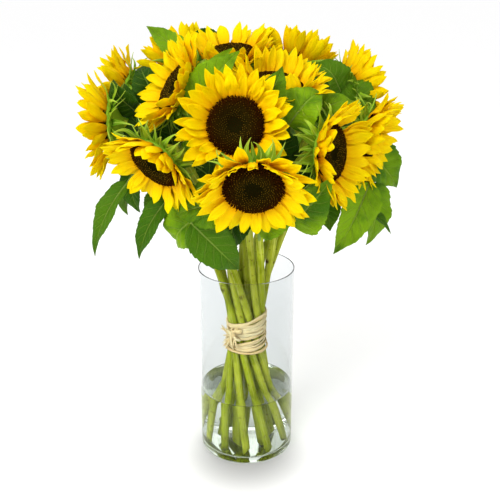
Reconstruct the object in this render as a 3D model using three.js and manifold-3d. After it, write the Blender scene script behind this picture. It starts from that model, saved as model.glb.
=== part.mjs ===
// Sunflowers in a clear glass cylinder vase, tied with raffia.
// Millimetres, +Z up. The origin is the middle of the vase's underside, and the front is towards -Y.
//
// Each flower is three meshes: a leafy stem with its calyx and bracts, a ring of petals in two
// layers, and a seed disc. The vase, its water and the raffia tie are one mesh each.

import * as THREE from 'three';
import { mergeVertices } from 'three/addons/utils/BufferGeometryUtils.js';
import Module from 'manifold-3d';

const wasm = await Module();
wasm.setup();

// ---------------------------------------------------------------- driving dimensions

const GAP = 0.3; // air between two pieces that touch
const SEAM = 0.25; // how far a seam's point may move to save triangles

const VASE = { radius: 60, height: 250, wall: 2, floor: 8, corner: 2, sides: 32 };
const WATER = { top: 83.5, stemGap: 0.5 };

// The hand-tied bundle: eleven stems round five, crossing in a spiral at the tie.
const BUNDLE = {
  waist: 162, // height of the narrowest place
  outer: { radius: 18.6, count: 11, start: -90 },
  inner: { radius: 8.6, count: 5, start: 34 },
  footSpread: 2.65, // how much wider the feet stand than the waist
  twist: 66, // degrees that the feet are turned from the waist
  straight: 0.38, // share of the upper length that still follows the lower line
};
const STEM = { radius: 4.4, sides: 6, steps: 9 };

const TIE = { bottom: 137, top: 188, bands: 5, thickness: 1.5, slant: 7, sides: 14 };
const KNOT = { angle: 237, height: 163, size: 7.5, ends: 5, endLength: 26, endWidth: 4 };

// Along a flower's axis, 0 is the flat back of its seed disc and the face is positive.
const DISC = { sides: 12, bump: 0.8, profile: [[29, 0], [30.6, 3.4], [23, 7.8], [9.5, 5.2]], hub: 3.4 };
const CALYX = { sides: 8, boss: 23.4, bossBottom: -4, flange: 27, shoulder: [22, -10], neck: [9, -17], bottom: -18.5 };
const BLOOM = { petals: 20, inner: 24, outer: 30, top: -0.3, middle: -2, bottom: -3.7 };
const PETAL = { front: [9, 12, 17], back: [17, 20], thickness: 1.2, width: 16, maxFirstPitch: 50 };
const BRACT = { count: 8, length: 32, width: 9, thickness: 2 };
const LEAF = { rib: 1.6, stalk: 1.9, arch: 0.09, fold: 14, wave: 2.2, tooth: 0.07 };

// Each flower: middle of its disc's back, where it faces (degrees, -90 is the front), the slot
// of its stem in the bundle, the length of its bent neck, and how far its petals are folded up:
// cup is their mean pitch, lean is what the upper ones have more and the lower ones less.
const FLOWERS = [
  { name: '01', at: [8, -150, 394], azimuth: -90, elevation: -23, slot: ['outer', 3], neck: 40, cup: 42, lean: 32 },
  { name: '02', at: [-10, -90, 443], azimuth: -98, elevation: 20, slot: ['outer', 2], neck: 45, cup: 46, lean: 0 },
  { name: '03', at: [-76, -25, 471], azimuth: -160, elevation: 31, slot: ['outer', 0], neck: 45, cup: 46, lean: 6 },
  { name: '04', at: [-96, -85, 403], azimuth: -131, elevation: -32, slot: ['outer', 1], neck: 40, cup: 44, lean: 18 },
  { name: '05', at: [-19, 40, 499], azimuth: -113, elevation: 75, slot: ['inner', 4], neck: 60, cup: 44, lean: -6 },
  { name: '06', at: [34, -30, 473], azimuth: -63, elevation: 71, slot: ['inner', 0], neck: 60, cup: 46, lean: -4 },
  { name: '07', at: [89, -85, 413], azimuth: -32, elevation: 4, slot: ['outer', 4], neck: 45, cup: 50, lean: 6 },
  { name: '08', at: [140, -10, 413], azimuth: -24, elevation: -11, slot: ['outer', 5], neck: 45, cup: 48, lean: 8 },
  { name: '09', at: [58, 94, 480], azimuth: 67, elevation: 49, slot: ['inner', 1], neck: 50, cup: 48, lean: 0 },
  { name: '10', at: [128, 72, 452], azimuth: 22, elevation: 12, slot: ['outer', 6], neck: 45, cup: 48, lean: 4 },
  { name: '11', at: [-153, 94, 446], azimuth: 172, elevation: 10, slot: ['outer', 9], neck: 45, cup: 48, lean: 4 },
  { name: '12', at: [-160, 0, 425], azimuth: -178, elevation: -3, slot: ['outer', 10], neck: 45, cup: 48, lean: 6 },
  { name: '13', at: [-76, 95, 478], azimuth: 112, elevation: 35, slot: ['inner', 3], neck: 50, cup: 50, lean: 0 },
  { name: '14', at: [8, 138, 450], azimuth: 90, elevation: 32, slot: ['inner', 2], neck: 50, cup: 48, lean: 0 },
  { name: '15', at: [82, 150, 395], azimuth: 62, elevation: -6, slot: ['outer', 7], neck: 45, cup: 46, lean: 6 },
  { name: '16', at: [-72, 155, 397], azimuth: 112, elevation: -8, slot: ['outer', 8], neck: 45, cup: 46, lean: 6 },
];

const FOREMOST = 2; // how many blooms are placed before the upper leaves

// Each leaf: its flower's stem, the height where its stalk leaves the stem, the two ends of its
// blade, the blade's full width, and roughly where its upper side looks. The upper leaves
// stand among the flowers and the lower ones hang below them.
const UPPER_LEAVES = [
  { stem: '05', from: 440, base: [-50, 12, 485], tip: [-119, 30, 537], width: 45, face: [-3, -6, 7] },
  { stem: '14', from: 420, base: [-30, 75, 512], tip: [-64, 60, 520], width: 26, face: [-2, -8, 5] },
  { stem: '03', from: 400, base: [-55, -48, 455], tip: [-6, -65, 514], width: 44, face: [-2, -9, 4] },
  { stem: '03', from: 415, base: [-45, -22, 485], tip: [-15, -25, 517], width: 16, face: [5, -5, 7] },
  { stem: '06', from: 400, base: [8, -72, 464], tip: [28, -78, 505], width: 28, face: [3, -9, 3] },
  { stem: '06', from: 385, base: [46, -70, 440], tip: [80, -64, 480], width: 52, face: [0, -7, 7] },
  { stem: '08', from: 370, base: [70, -35, 440], tip: [117, -45, 468], width: 32, face: [1, -7, 7] },
  { stem: '08', from: 385, base: [78, -5, 452], tip: [86, -5, 485], width: 32, face: [0, -9, 4] },
  { stem: '10', from: 395, base: [112, 30, 462], tip: [84, 20, 500], width: 40, face: [0, -7, 7] },
  { stem: '10', from: 415, base: [130, 38, 425], tip: [135, 45, 487], width: 46, face: [0, -9, 3] },
];
const LOWER_LEAVES = [
  { stem: '08', from: 390, base: [150, 34, 388], tip: [200, 22, 339], width: 60, face: [4, -8, 4] },
  { stem: '08', from: 350, base: [132, -15, 372], tip: [108, -30, 275], width: 58, face: [2, -9, 2] },
  { stem: '10', from: 380, base: [150, 5, 350], tip: [148, 0, 267], width: 42, face: [5, -8, 1] },
  { stem: '08', from: 340, base: [133, 10, 328], tip: [180, 0, 303], width: 20, face: [2, -3, 9] },
  { stem: '10', from: 345, base: [98, 30, 335], tip: [105, 20, 288], width: 34, face: [0, -10, 0] },
  { stem: '07', from: 350, base: [52, -100, 346], tip: [92, -128, 390], width: 54, face: [3, -8, 5] },
  { stem: '01', from: 300, base: [18, -98, 322], tip: [78, -112, 360], width: 56, face: [2, -8, 5] },
  { stem: '01', from: 315, base: [-12, -96, 350], tip: [-81, -92, 337], width: 58, face: [-2, -8, 5] },
  { stem: '04', from: 330, base: [-60, -100, 345], tip: [-3, -98, 283], width: 66, face: [-1, -8, 4] },
  { stem: '04', from: 315, base: [-46, -60, 340], tip: [-94, -62, 300], width: 60, face: [-3, -8, 5] },
  { stem: '12', from: 385, base: [-138, -30, 365], tip: [-184, -40, 277], width: 34, face: [-6, -7, 2] },
  { stem: '12', from: 350, base: [-90, -40, 350], tip: [-131, -45, 275], width: 36, face: [-5, -8, 3] },
  { stem: '11', from: 380, base: [-138, 10, 372], tip: [-134, 10, 312], width: 28, face: [-4, -9, 0] },
  { stem: '11', from: 345, base: [-100, -10, 348], tip: [-122, -10, 318], width: 26, face: [-2, -10, 0] },
  { stem: '12', from: 400, base: [-129, 10, 440], tip: [-158, 0, 476], width: 34, face: [-4, -9, 0] },
  { stem: '11', from: 410, base: [-120, 12, 415], tip: [-140, 0, 455], width: 24, face: [0, -10, 0] },
  { stem: '14', from: 360, base: [-10, 112, 372], tip: [-30, 195, 350], width: 64, face: [0, 6, 8] },
  { stem: '15', from: 330, base: [90, 95, 345], tip: [150, 145, 300], width: 64, face: [4, 6, 7] },
  { stem: '16', from: 330, base: [-75, 95, 345], tip: [-130, 150, 305], width: 64, face: [-4, 6, 7] },
  { stem: '09', from: 380, base: [45, 112, 400], tip: [30, 192, 400], width: 56, face: [0, 4, 9] },
  { stem: '13', from: 390, base: [-100, 100, 405], tip: [-150, 150, 390], width: 56, face: [-4, 4, 8] },
  { stem: '15', from: 300, base: [30, 95, 322], tip: [20, 160, 275], width: 60, face: [0, 8, 6] },
  { stem: '11', from: 350, base: [-120, 62, 352], tip: [-175, 92, 300], width: 56, face: [-7, 3, 6] },
];

// What a petal, bract or leaf tries, in this order, until it touches nothing else (degrees).
// A petal that finds no room at its full size tries again shorter.
const PETAL_BENDS = [0, 10, -10, 20, -20, 30, 42, 55, 68, -32, 80, 92];
const PETAL_SIZES = [1, 0.75, 0.5];
const BRACT_BENDS = [0, -15, 15, -30, 30, -45, -60, 45];
const LEAF_SWINGS = [0, 12, -12, 24, -24, 38, -38];
const LEAF_LIFTS = [0, 14, -14, 28, -28, 45];

const COLOURS = {
  glass: { color: 0xdfe8e6, roughness: 0.05, metalness: 0 },
  water: { color: 0xcfdcc4, roughness: 0.05, metalness: 0 },
  raffia: { color: 0xdcc48c, roughness: 0.8, metalness: 0 },
  green: { color: 0x4f8a22, roughness: 0.6, metalness: 0 },
  petal: { color: 0xffcf10, roughness: 0.6, metalness: 0 },
  disc: { color: 0x3a1c10, roughness: 0.9, metalness: 0 },
};

// ---------------------------------------------------------------- helpers

const radians = THREE.MathUtils.degToRad;
const vector = (values) => new THREE.Vector3(...values);
const onCircle = (radius, degrees, height) => new THREE.Vector3(
  radius * Math.cos(radians(degrees)), radius * Math.sin(radians(degrees)), height);

// The same number between 0 and 1 for the same seed, on every run.
function chance(seed) {
  const wave = Math.sin(seed * 12.9898) * 43758.5453;
  return wave - Math.floor(wave);
}

// A mesh of points and triangles as one solid, facing outwards.
function solidOf(points, triangles) {
  let volume = 0;
  for (const [a, b, c] of triangles) {
    volume += points[a].dot(points[b].clone().cross(points[c]));
  }
  const outward = volume > 0 ? triangles : triangles.map(([a, b, c]) => [a, c, b]);
  const mesh = new wasm.Mesh({
    numProp: 3,
    vertProperties: new Float32Array(points.flatMap((p) => [p.x, p.y, p.z])),
    triVerts: new Uint32Array(outward.flat()),
  });
  return new wasm.Manifold(mesh);
}

// A three.js geometry as a solid: its seams are merged and its empty triangles dropped.
function solidFrom(geometry) {
  geometry.deleteAttribute('normal');
  geometry.deleteAttribute('uv');
  const merged = mergeVertices(geometry, 1e-4);
  const place = merged.getAttribute('position');
  const points = [];
  for (let i = 0; i < place.count; i += 1) {
    points.push(new THREE.Vector3().fromBufferAttribute(place, i));
  }
  const index = merged.getIndex().array;
  const triangles = [];
  for (let i = 0; i < index.length; i += 3) {
    const [a, b, c] = [index[i], index[i + 1], index[i + 2]];
    if (a !== b && b !== c && c !== a) triangles.push([a, b, c]);
  }
  return solidOf(points, triangles);
}

function latheSolid(profile, sides) {
  const outline = profile.map(([radius, height]) => new THREE.Vector2(radius, height));
  const geometry = new THREE.LatheGeometry(outline, sides);
  geometry.rotateX(Math.PI / 2);
  return solidFrom(geometry);
}

// Rings of equally many points joined one to the next, with the last one drawn to a point. The
// quads are split in turn one way and the other, which makes both faces of a blade alike.
function loftTriangles(rings, first, tip) {
  const sides = rings[0].length;
  const triangles = [];
  for (let r = 0; r + 1 < rings.length; r += 1) {
    for (let s = 0; s < sides; s += 1) {
      const [a, b] = [first + r * sides + s, first + r * sides + (s + 1) % sides];
      const [c, d] = [b + sides, a + sides];
      if (s % 2 === 0) triangles.push([a, b, c], [a, c, d]);
      else triangles.push([a, b, d], [b, c, d]);
    }
  }
  const last = first + (rings.length - 1) * sides;
  for (let s = 0; s < sides; s += 1) triangles.push([last + s, last + (s + 1) % sides, tip]);
  return triangles;
}

// The same as a solid of its own, with its first ring closed flat.
function loftSolid(rings, tip) {
  const points = [...rings.flat(), tip];
  const triangles = loftTriangles(rings, 0, points.length - 1);
  for (let s = 1; s + 1 < rings[0].length; s += 1) triangles.push([0, s + 1, s]);
  return solidOf(points, triangles);
}

// Several solids as one, without the slivers that their seams leave.
function fused(solids) {
  return solids.reduce((whole, next) => whole.add(next)).asOriginal().simplify(SEAM);
}

// Everything that has its place already, so that what grows later can bend clear of it.
const placed = [];
const place = (node, solid) => placed.push({ node, solid, box: solid.boundingBox() });
const apart = (a, b) => [0, 1, 2].some(
  (k) => a.min[k] > b.max[k] + GAP || b.min[k] > a.max[k] + GAP);

function isClear(solid, ownNode) {
  const box = solid.boundingBox();
  const near = placed.filter((other) => other.node !== ownNode && !apart(box, other.box));
  return near.every((other) => solid.minGap(other.solid, 2 * GAP) >= GAP);
}

// ---------------------------------------------------------------- a flower's own frame

// right and up lie in the plane of the disc, as seen by somebody whom the flower faces.
function flowerFrame(flower) {
  const axis = onCircle(Math.cos(radians(flower.elevation)), flower.azimuth,
    Math.sin(radians(flower.elevation)));
  const up = new THREE.Vector3(0, 0, 1).addScaledVector(axis, -axis.z).normalize();
  const right = up.clone().cross(axis);
  const centre = vector(flower.at);
  const point = (radius, angle, height) => centre.clone()
    .addScaledVector(right, radius * Math.cos(angle))
    .addScaledVector(up, radius * Math.sin(angle))
    .addScaledVector(axis, height);
  const matrix = new THREE.Matrix4().makeBasis(right, up, axis).setPosition(centre);
  return { axis, up, right, centre, point, matrix };
}

// ---------------------------------------------------------------- stems

// A stem's line: straight from its foot to its slot at the waist, then one smooth curve to the
// back of its flower. Steps follow the parameter, so they are short where the neck bends.
class StemLine extends THREE.Curve {
  constructor(flower) {
    super();
    const [ringName, index] = flower.slot;
    const ring = BUNDLE[ringName];
    const angle = ring.start + 360 * index / ring.count;
    this.waist = onCircle(ring.radius, angle, BUNDLE.waist);
    const foot = onCircle(ring.radius * BUNDLE.footSpread, angle + BUNDLE.twist, 0);
    const slope = foot.distanceTo(onCircle(ring.radius, angle, 0)) / BUNDLE.waist;
    foot.z = VASE.floor + GAP + STEM.radius * slope + 0.1;
    this.foot = foot;
    const direction = this.waist.clone().sub(foot).normalize();
    const frame = flowerFrame(flower);
    const end = frame.point(0, 0, CALYX.bottom + 3);
    const reach = end.distanceTo(this.waist) * BUNDLE.straight;
    this.upper = new THREE.CubicBezierCurve3(this.waist,
      this.waist.clone().addScaledVector(direction, reach),
      end.clone().addScaledVector(frame.axis, -flower.neck), end);
    this.lowerShare = 1 / STEM.steps;
  }

  getPoint(t) {
    if (t < this.lowerShare) return this.foot.clone().lerp(this.waist, t / this.lowerShare);
    return this.upper.getPoint((t - this.lowerShare) / (1 - this.lowerShare));
  }

  getUtoTmapping(u) {
    return u;
  }

  // The middle of the stem's own straight lengths where it first is as high as asked.
  atHeight(height) {
    const corners = this.getPoints(STEM.steps);
    const above = corners.findIndex((corner) => corner.z >= height);
    const [low, high] = [corners[above - 1], corners[above]];
    return low.clone().lerp(high, (height - low.z) / (high.z - low.z));
  }
}

function stemSolid(line, radius, steps) {
  const section = new THREE.Shape();
  for (let k = 0; k < STEM.sides; k += 1) {
    const angle = 2 * Math.PI * k / STEM.sides;
    const [x, y] = [radius * Math.cos(angle), radius * Math.sin(angle)];
    if (k === 0) section.moveTo(x, y);
    else section.lineTo(x, y);
  }
  const options = { steps, extrudePath: line, bevelEnabled: false };
  return solidFrom(new THREE.ExtrudeGeometry(section, options));
}

// The green cup behind the disc, with a boss that carries the disc through the petal ring.
function calyxSolid(frame) {
  const profile = [[0, -GAP], [CALYX.boss, -GAP], [CALYX.boss, CALYX.bossBottom],
    [CALYX.flange, CALYX.bossBottom], CALYX.shoulder, CALYX.neck, [0, CALYX.bottom]];
  return latheSolid(profile, CALYX.sides).transform(frame.matrix.elements);
}

// ---------------------------------------------------------------- discs

// The seed disc: a low ring of florets round a sunken middle, with every second point raised.
function discSolid(frame) {
  const points = [frame.point(0, 0, 0)];
  const step = 2 * Math.PI / DISC.sides;
  DISC.profile.forEach(([radius, height], r) => {
    for (let s = 0; s < DISC.sides; s += 1) {
      const raised = r > 1 && s % 2 === 0 ? DISC.bump : 0;
      points.push(frame.point(radius, (s + r / 2) * step, height + raised));
    }
  });
  points.push(frame.point(0, 0, DISC.hub));
  const triangles = [];
  const top = points.length - 1;
  const rings = DISC.profile.length;
  for (let s = 0; s < DISC.sides; s += 1) {
    const next = (s + 1) % DISC.sides;
    triangles.push([0, 1 + next, 1 + s]);
    for (let r = 0; r + 1 < rings; r += 1) {
      const low = 1 + r * DISC.sides;
      const high = low + DISC.sides;
      triangles.push([low + s, low + next, high + s], [low + next, high + next, high + s]);
    }
    const rim = 1 + (rings - 1) * DISC.sides;
    triangles.push([rim + s, rim + next, top]);
  }
  return solidOf(points, triangles);
}

// ---------------------------------------------------------------- petals

// A petal's rings of four corners, beyond its root, and its tip. Its pitch is its rise out of
// the plane of the disc: a petal of the front layer keeps clear of the disc's rim before it folds.
function petalShape(frame, angle, isFront, pitch, curl, size) {
  const lengths = (isFront ? PETAL.front : PETAL.back).map((length) => length * size);
  const widths = isFront ? [0.66, 1] : [1];
  const pitches = isFront ? [Math.min(pitch, PETAL.maxFirstPitch), pitch, pitch + curl]
    : [Math.min(pitch, PETAL.maxFirstPitch), pitch + curl];
  let radius = BLOOM.outer;
  let height = isFront ? (BLOOM.top + BLOOM.middle) / 2 : (BLOOM.middle + BLOOM.bottom) / 2;
  const rings = [];
  lengths.forEach((length, k) => {
    const rise = radians(pitches[k]);
    radius += length * Math.cos(rise);
    height += length * Math.sin(rise);
    if (k === lengths.length - 1) return;
    const half = widths[k] * PETAL.width / 2;
    const out = PETAL.thickness / 2 * Math.sin(rise);
    const thick = PETAL.thickness / 2 * Math.cos(rise);
    const corner = (side, level) => {
      const middle = frame.point(radius - level * out, angle, height + level * thick);
      return middle.add(frame.point(side * half, angle + Math.PI / 2, 0).sub(frame.centre));
    };
    rings.push([corner(-1, -1), corner(1, -1), corner(1, 1), corner(-1, 1)]);
  });
  return { rings, tip: frame.point(radius, angle, height) };
}

// The part of a petal that must touch nothing: all but its first few millimetres.
function petalProbe(root, shape) {
  const start = root.map((corner, k) => corner.clone().lerp(shape.rings[0][k], 0.45));
  return loftSolid([start, ...shape.rings], shape.tip);
}

// The petal ring and the first few millimetres of the petals, which others keep clear of.
function rootZone(frame) {
  const outer = BLOOM.outer + 5;
  const profile = [[BLOOM.inner, BLOOM.bottom], [outer, BLOOM.bottom], [outer, BLOOM.top + 3],
    [BLOOM.inner, BLOOM.top], [BLOOM.inner, BLOOM.bottom]];
  return latheSolid(profile, BLOOM.petals).transform(frame.matrix.elements);
}

// A bloom: a thin ring whose outer wall has two rows of faces. Every second face of the upper
// row grows into a front petal, and the faces between them, in the lower row, into back petals.
function bloomSolid(flower, frame) {
  const count = BLOOM.petals;
  const step = 2 * Math.PI / count;
  const turn = step * chance(Number(flower.name));
  const levels = [[BLOOM.inner, BLOOM.top], [BLOOM.outer, BLOOM.top], [BLOOM.outer, BLOOM.middle],
    [BLOOM.outer, BLOOM.bottom]];
  const points = [];
  for (const [radius, height] of levels) {
    for (let k = 0; k < count; k += 1) points.push(frame.point(radius, turn + k * step, height));
  }
  const triangles = [];
  const quad = (a, b, c, d) => triangles.push([a, b, c], [a, c, d]);
  const node = `petals_${flower.name}`;
  const probes = [];
  for (const isFront of [true, false]) {
    for (let k = isFront ? 0 : 1; k < count; k += 2) {
      const next = (k + 1) % count;
      const row = isFront ? count : 2 * count;
      const root = [row + count + k, row + count + next, row + next, row + k];
      const angle = turn + (k + 0.5) * step;
      const seed = 100 * Number(flower.name) + k;
      const natural = flower.cup + flower.lean * Math.sin(angle) + 10 * (chance(seed) - 0.5)
        - (isFront ? 0 : 16);
      const curl = 24 * (chance(seed + 0.5) - 0.6);
      const corners = root.map((i) => points[i]);
      const tries = PETAL_SIZES.flatMap((size) => PETAL_BENDS.map((bend) => {
        const shape = petalShape(frame, angle, isFront, natural + bend, curl, size);
        return { shape, probe: petalProbe(corners, shape) };
      }));
      const clearOfOwn = (probe) => probes.every((other) => probe.minGap(other, 1) > 0.1);
      const choice = tries.find(({ probe }) => isClear(probe, node) && clearOfOwn(probe));
      if (!choice) console.log(`petal ${seed} stays out: no free place`);
      if (!choice) {
        quad(...root);
        continue;
      }
      const { shape, probe } = choice;
      probes.push(probe);
      const first = points.length;
      points.push(...shape.rings.flat(), shape.tip);
      for (let s = 0; s < 4; s += 1) {
        const ahead = (s + 1) % 4;
        quad(root[s], root[ahead], first + ahead, first + s);
      }
      triangles.push(...loftTriangles(shape.rings, first, points.length - 1));
    }
  }
  for (let k = 0; k < count; k += 1) {
    const next = (k + 1) % count;
    quad(k, count + k, count + next, next);
    quad(k, next, 3 * count + next, 3 * count + k);
    const wall = k % 2 === 0 ? 2 * count : count;
    quad(wall + count + k, wall + count + next, wall + next, wall + k);
  }
  const solid = solidOf(points, triangles);
  probes.forEach((probe) => place(node, probe));
  return solid;
}

// ---------------------------------------------------------------- bracts and leaves

// A bract: a long pointed scale that stands out from the calyx behind the petals.
function bractSolid(frame, angle, pitch, length) {
  const steps = [[0, 1, 1], [0.45, 0.8, 0.8]];
  const rise = radians(pitch);
  const spine = (share, bend) => ({
    radius: CALYX.shoulder[0] + length * share * Math.cos(rise + bend),
    height: CALYX.shoulder[1] + 4 + length * share * Math.sin(rise + bend),
  });
  const rings = steps.map(([share, wide, thick]) => {
    const { radius, height } = spine(share, 0);
    const middle = frame.point(radius, angle, height);
    const half = wide * BRACT.width / 2;
    const side = frame.point(half, angle + Math.PI / 2, 0).sub(frame.centre);
    const ridge = frame.point(-thick * BRACT.thickness * Math.sin(rise), angle,
      thick * BRACT.thickness * Math.cos(rise)).sub(frame.centre);
    return [middle.clone().sub(side), middle.clone().add(side), middle.clone().sub(ridge)];
  });
  const { radius, height } = spine(1, radians(-14));
  return loftSolid(rings, frame.point(radius, angle, height));
}

// A leaf: a thin stalk from the stem, then a heart-shaped blade folded along its rib, with a
// toothed and gently waved edge.
// Shares of its length, and of its half width there.
const BLADE = [[0, 0.1], [0.09, 0.72], [0.24, 1], [0.4, 0.93], [0.56, 0.75], [0.72, 0.48], [0.87, 0.22]];

function leafShape(leaf, line, swing, raise, seed) {
  const root = line.atHeight(leaf.from);
  const turned = (target) => {
    const arm = vector(target).sub(root);
    arm.applyAxisAngle(new THREE.Vector3(0, 0, 1), radians(swing));
    const level = new THREE.Vector3(arm.y, -arm.x, 0).normalize();
    return arm.applyAxisAngle(level, radians(raise)).add(root);
  };
  const base = turned(leaf.base);
  const tip = turned(leaf.tip);
  const along = tip.clone().sub(base);
  const length = along.length();
  along.normalize();
  const face = vector(leaf.face);
  face.addScaledVector(along, -face.dot(along)).normalize();
  const side = along.clone().cross(face);

  // The stalk comes from another direction, so its rings are the blade's, turned that way.
  const toStalk = new THREE.Quaternion().setFromUnitVectors(along, base.clone().sub(root).normalize());
  const ring = (middle, turned, half, thick, [left, right], back) => {
    const corner = (x, y, z) => new THREE.Vector3()
      .addScaledVector(side, x).addScaledVector(along, y).addScaledVector(face, z)
      .applyQuaternion(turned).add(middle);
    return [corner(-half, -back, left), corner(0, 0, -thick / 2), corner(half, -back, right),
      corner(0, 0, thick / 2)];
  };
  const rings = [ring(root, toStalk, LEAF.stalk, 2 * LEAF.stalk, [0, 0], 0)];
  BLADE.forEach(([share, wide], k) => {
    const middle = base.clone().addScaledVector(along, share * length)
      .addScaledVector(face, LEAF.arch * length * Math.sin(Math.PI * share));
    const half = wide * leaf.width / 2 * (1 + (k % 2 ? LEAF.tooth : -LEAF.tooth));
    const lift = [seed, seed + 0.3].map((start) => half * Math.tan(radians(LEAF.fold))
      + wide * LEAF.wave * Math.sin(2.4 * k + 6 * chance(start)));
    if (k === 0) {
      const halfway = new THREE.Quaternion().slerp(toStalk, 0.5);
      rings.push(ring(middle, halfway, LEAF.stalk, 2 * LEAF.stalk, [0, 0], 0));
      return;
    }
    const lobe = 0.1 * length * wide * (1 - share) ** 4;
    rings.push(ring(middle, new THREE.Quaternion(), half, LEAF.rib, lift, lobe));
  });
  return { rings, tip };
}

// Tries every swing and lift, the smallest first, until the leaf touches nothing.
function leafSolid(leaf, line, seed) {
  const tries = LEAF_SWINGS.flatMap((swing) => LEAF_LIFTS.map((lift) => [swing, lift]))
    .sort((a, b) => Math.hypot(...a) - Math.hypot(...b));
  for (const [swing, raise] of tries) {
    const { rings, tip } = leafShape(leaf, line, swing, raise, seed);
    const start = rings[0].map((corner, k) => corner.clone().lerp(rings[1][k], 0.3));
    const probe = loftSolid([start, ...rings.slice(1)], tip);
    if (isClear(probe, `stem_${leaf.stem}`)) return { whole: loftSolid(rings, tip), probe };
  }
  console.log(`leaf ${seed} of stem ${leaf.stem} stays out: no free place`);
  return null;
}

// ---------------------------------------------------------------- vase, water and tie

function vaseSolid() {
  const { radius, height, wall, floor, corner } = VASE;
  const inner = radius - wall;
  const profile = [[0, 0], [radius - corner, 0], [radius, corner], [radius, height],
    [inner, height], [inner, floor + corner], [inner - corner, floor], [0, floor]];
  return latheSolid(profile, VASE.sides);
}

function waterSolid(lines) {
  const { radius, wall, floor, corner, sides } = VASE;
  const inner = radius - wall - GAP;
  const bottom = floor + GAP;
  const profile = [[0, bottom], [inner - corner, bottom], [inner, bottom + corner], [inner, WATER.top],
    [0, WATER.top]];
  let water = latheSolid(profile, sides);
  for (const line of lines) {
    const below = line.foot.clone().sub(line.waist).multiplyScalar(0.2).add(line.foot);
    const hole = new THREE.LineCurve3(below, line.waist);
    water = water.subtract(stemSolid(hole, STEM.radius + WATER.stemGap, 1));
  }
  return water;
}

// How far the stems reach from the middle of the bundle between two heights.
function bundleRadius(lines, low, high) {
  const reach = lines.flatMap((line) => {
    const curve = [...new THREE.LineCurve3(line.foot, line.waist).getPoints(80), ...line.upper.getPoints(80)];
    return curve.filter((p) => p.z > low && p.z < high).map((p) => Math.hypot(p.x, p.y));
  });
  return Math.max(...reach) + STEM.radius;
}

// The tie: flat bands of raffia round the waist, each a little aslant, and a knot with loose
// ends at the front left.
function tieSolid(lines) {
  const pitch = (TIE.top - TIE.bottom) / TIE.bands;
  const bandHeight = pitch * 1.35;
  const solids = [];
  for (let k = 0; k < TIE.bands; k += 1) {
    const middle = TIE.bottom + pitch * (k + 0.5);
    const slant = radians(TIE.slant * (0.3 + 0.7 * k / (TIE.bands - 1)));
    const drop = 25 * Math.sin(slant) + bandHeight / 2;
    const snug = bundleRadius(lines, middle - drop, middle + drop) / Math.cos(slant) + 2 * GAP;
    const inner = snug / Math.cos(Math.PI / TIE.sides);
    const thick = TIE.thickness * (k % 2 ? 1 : 1.25);
    const profile = [[inner, -bandHeight / 2], [inner + thick, 0], [inner, bandHeight / 2],
      [inner, -bandHeight / 2]];
    const band = latheSolid(profile, TIE.sides);
    const matrix = new THREE.Matrix4().makeRotationY(-slant).setPosition(0, 0, middle);
    solids.push(band.transform(matrix.elements));
  }
  const rim = bundleRadius(lines, KNOT.height - 15, KNOT.height + 15) + 2 * GAP;
  const knot = new THREE.IcosahedronGeometry(KNOT.size, 0);
  knot.scale(0.45, 1, 1.25);
  knot.rotateZ(radians(KNOT.angle));
  const heart = onCircle(rim + KNOT.size * 0.45 + 0.2, KNOT.angle, KNOT.height);
  knot.translate(heart.x, heart.y, heart.z);
  solids.push(solidFrom(knot));
  for (let k = 0; k < KNOT.ends; k += 1) {
    const lean = radians(-150 + 60 * k + 30 * chance(k));
    const tangent = onCircle(1, KNOT.angle + 90, 0);
    const away = onCircle(1, KNOT.angle, 0);
    const along = tangent.multiplyScalar(Math.cos(lean)).add(new THREE.Vector3(0, 0, Math.sin(lean)));
    const side = along.clone().cross(away);
    const length = KNOT.endLength * (0.7 + 0.5 * chance(k + 0.5));
    const ring = (share, wide) => {
      const middle = heart.clone().addScaledVector(along, share * length)
        .addScaledVector(away, 1.5 + 3 * share);
      return [middle.clone().addScaledVector(side, -wide / 2), middle.clone().addScaledVector(away, -0.8),
        middle.clone().addScaledVector(side, wide / 2), middle.clone().addScaledVector(away, 0.8)];
    };
    const tip = heart.clone().addScaledVector(along, length).addScaledVector(away, 6);
    solids.push(loftSolid([ring(0, KNOT.endWidth), ring(0.6, KNOT.endWidth)], tip));
  }
  return fused(solids);
}

// ---------------------------------------------------------------- the whole object

function meshOf(name, solid, look) {
  const { vertProperties, triVerts } = solid.getMesh();
  const geometry = new THREE.BufferGeometry();
  geometry.setAttribute('position', new THREE.BufferAttribute(new Float32Array(vertProperties), 3));
  geometry.setIndex(new THREE.BufferAttribute(new Uint32Array(triVerts), 1));
  geometry.computeVertexNormals();
  const mesh = new THREE.Mesh(geometry, new THREE.MeshStandardMaterial(look));
  mesh.name = name;
  return mesh;
}

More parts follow.
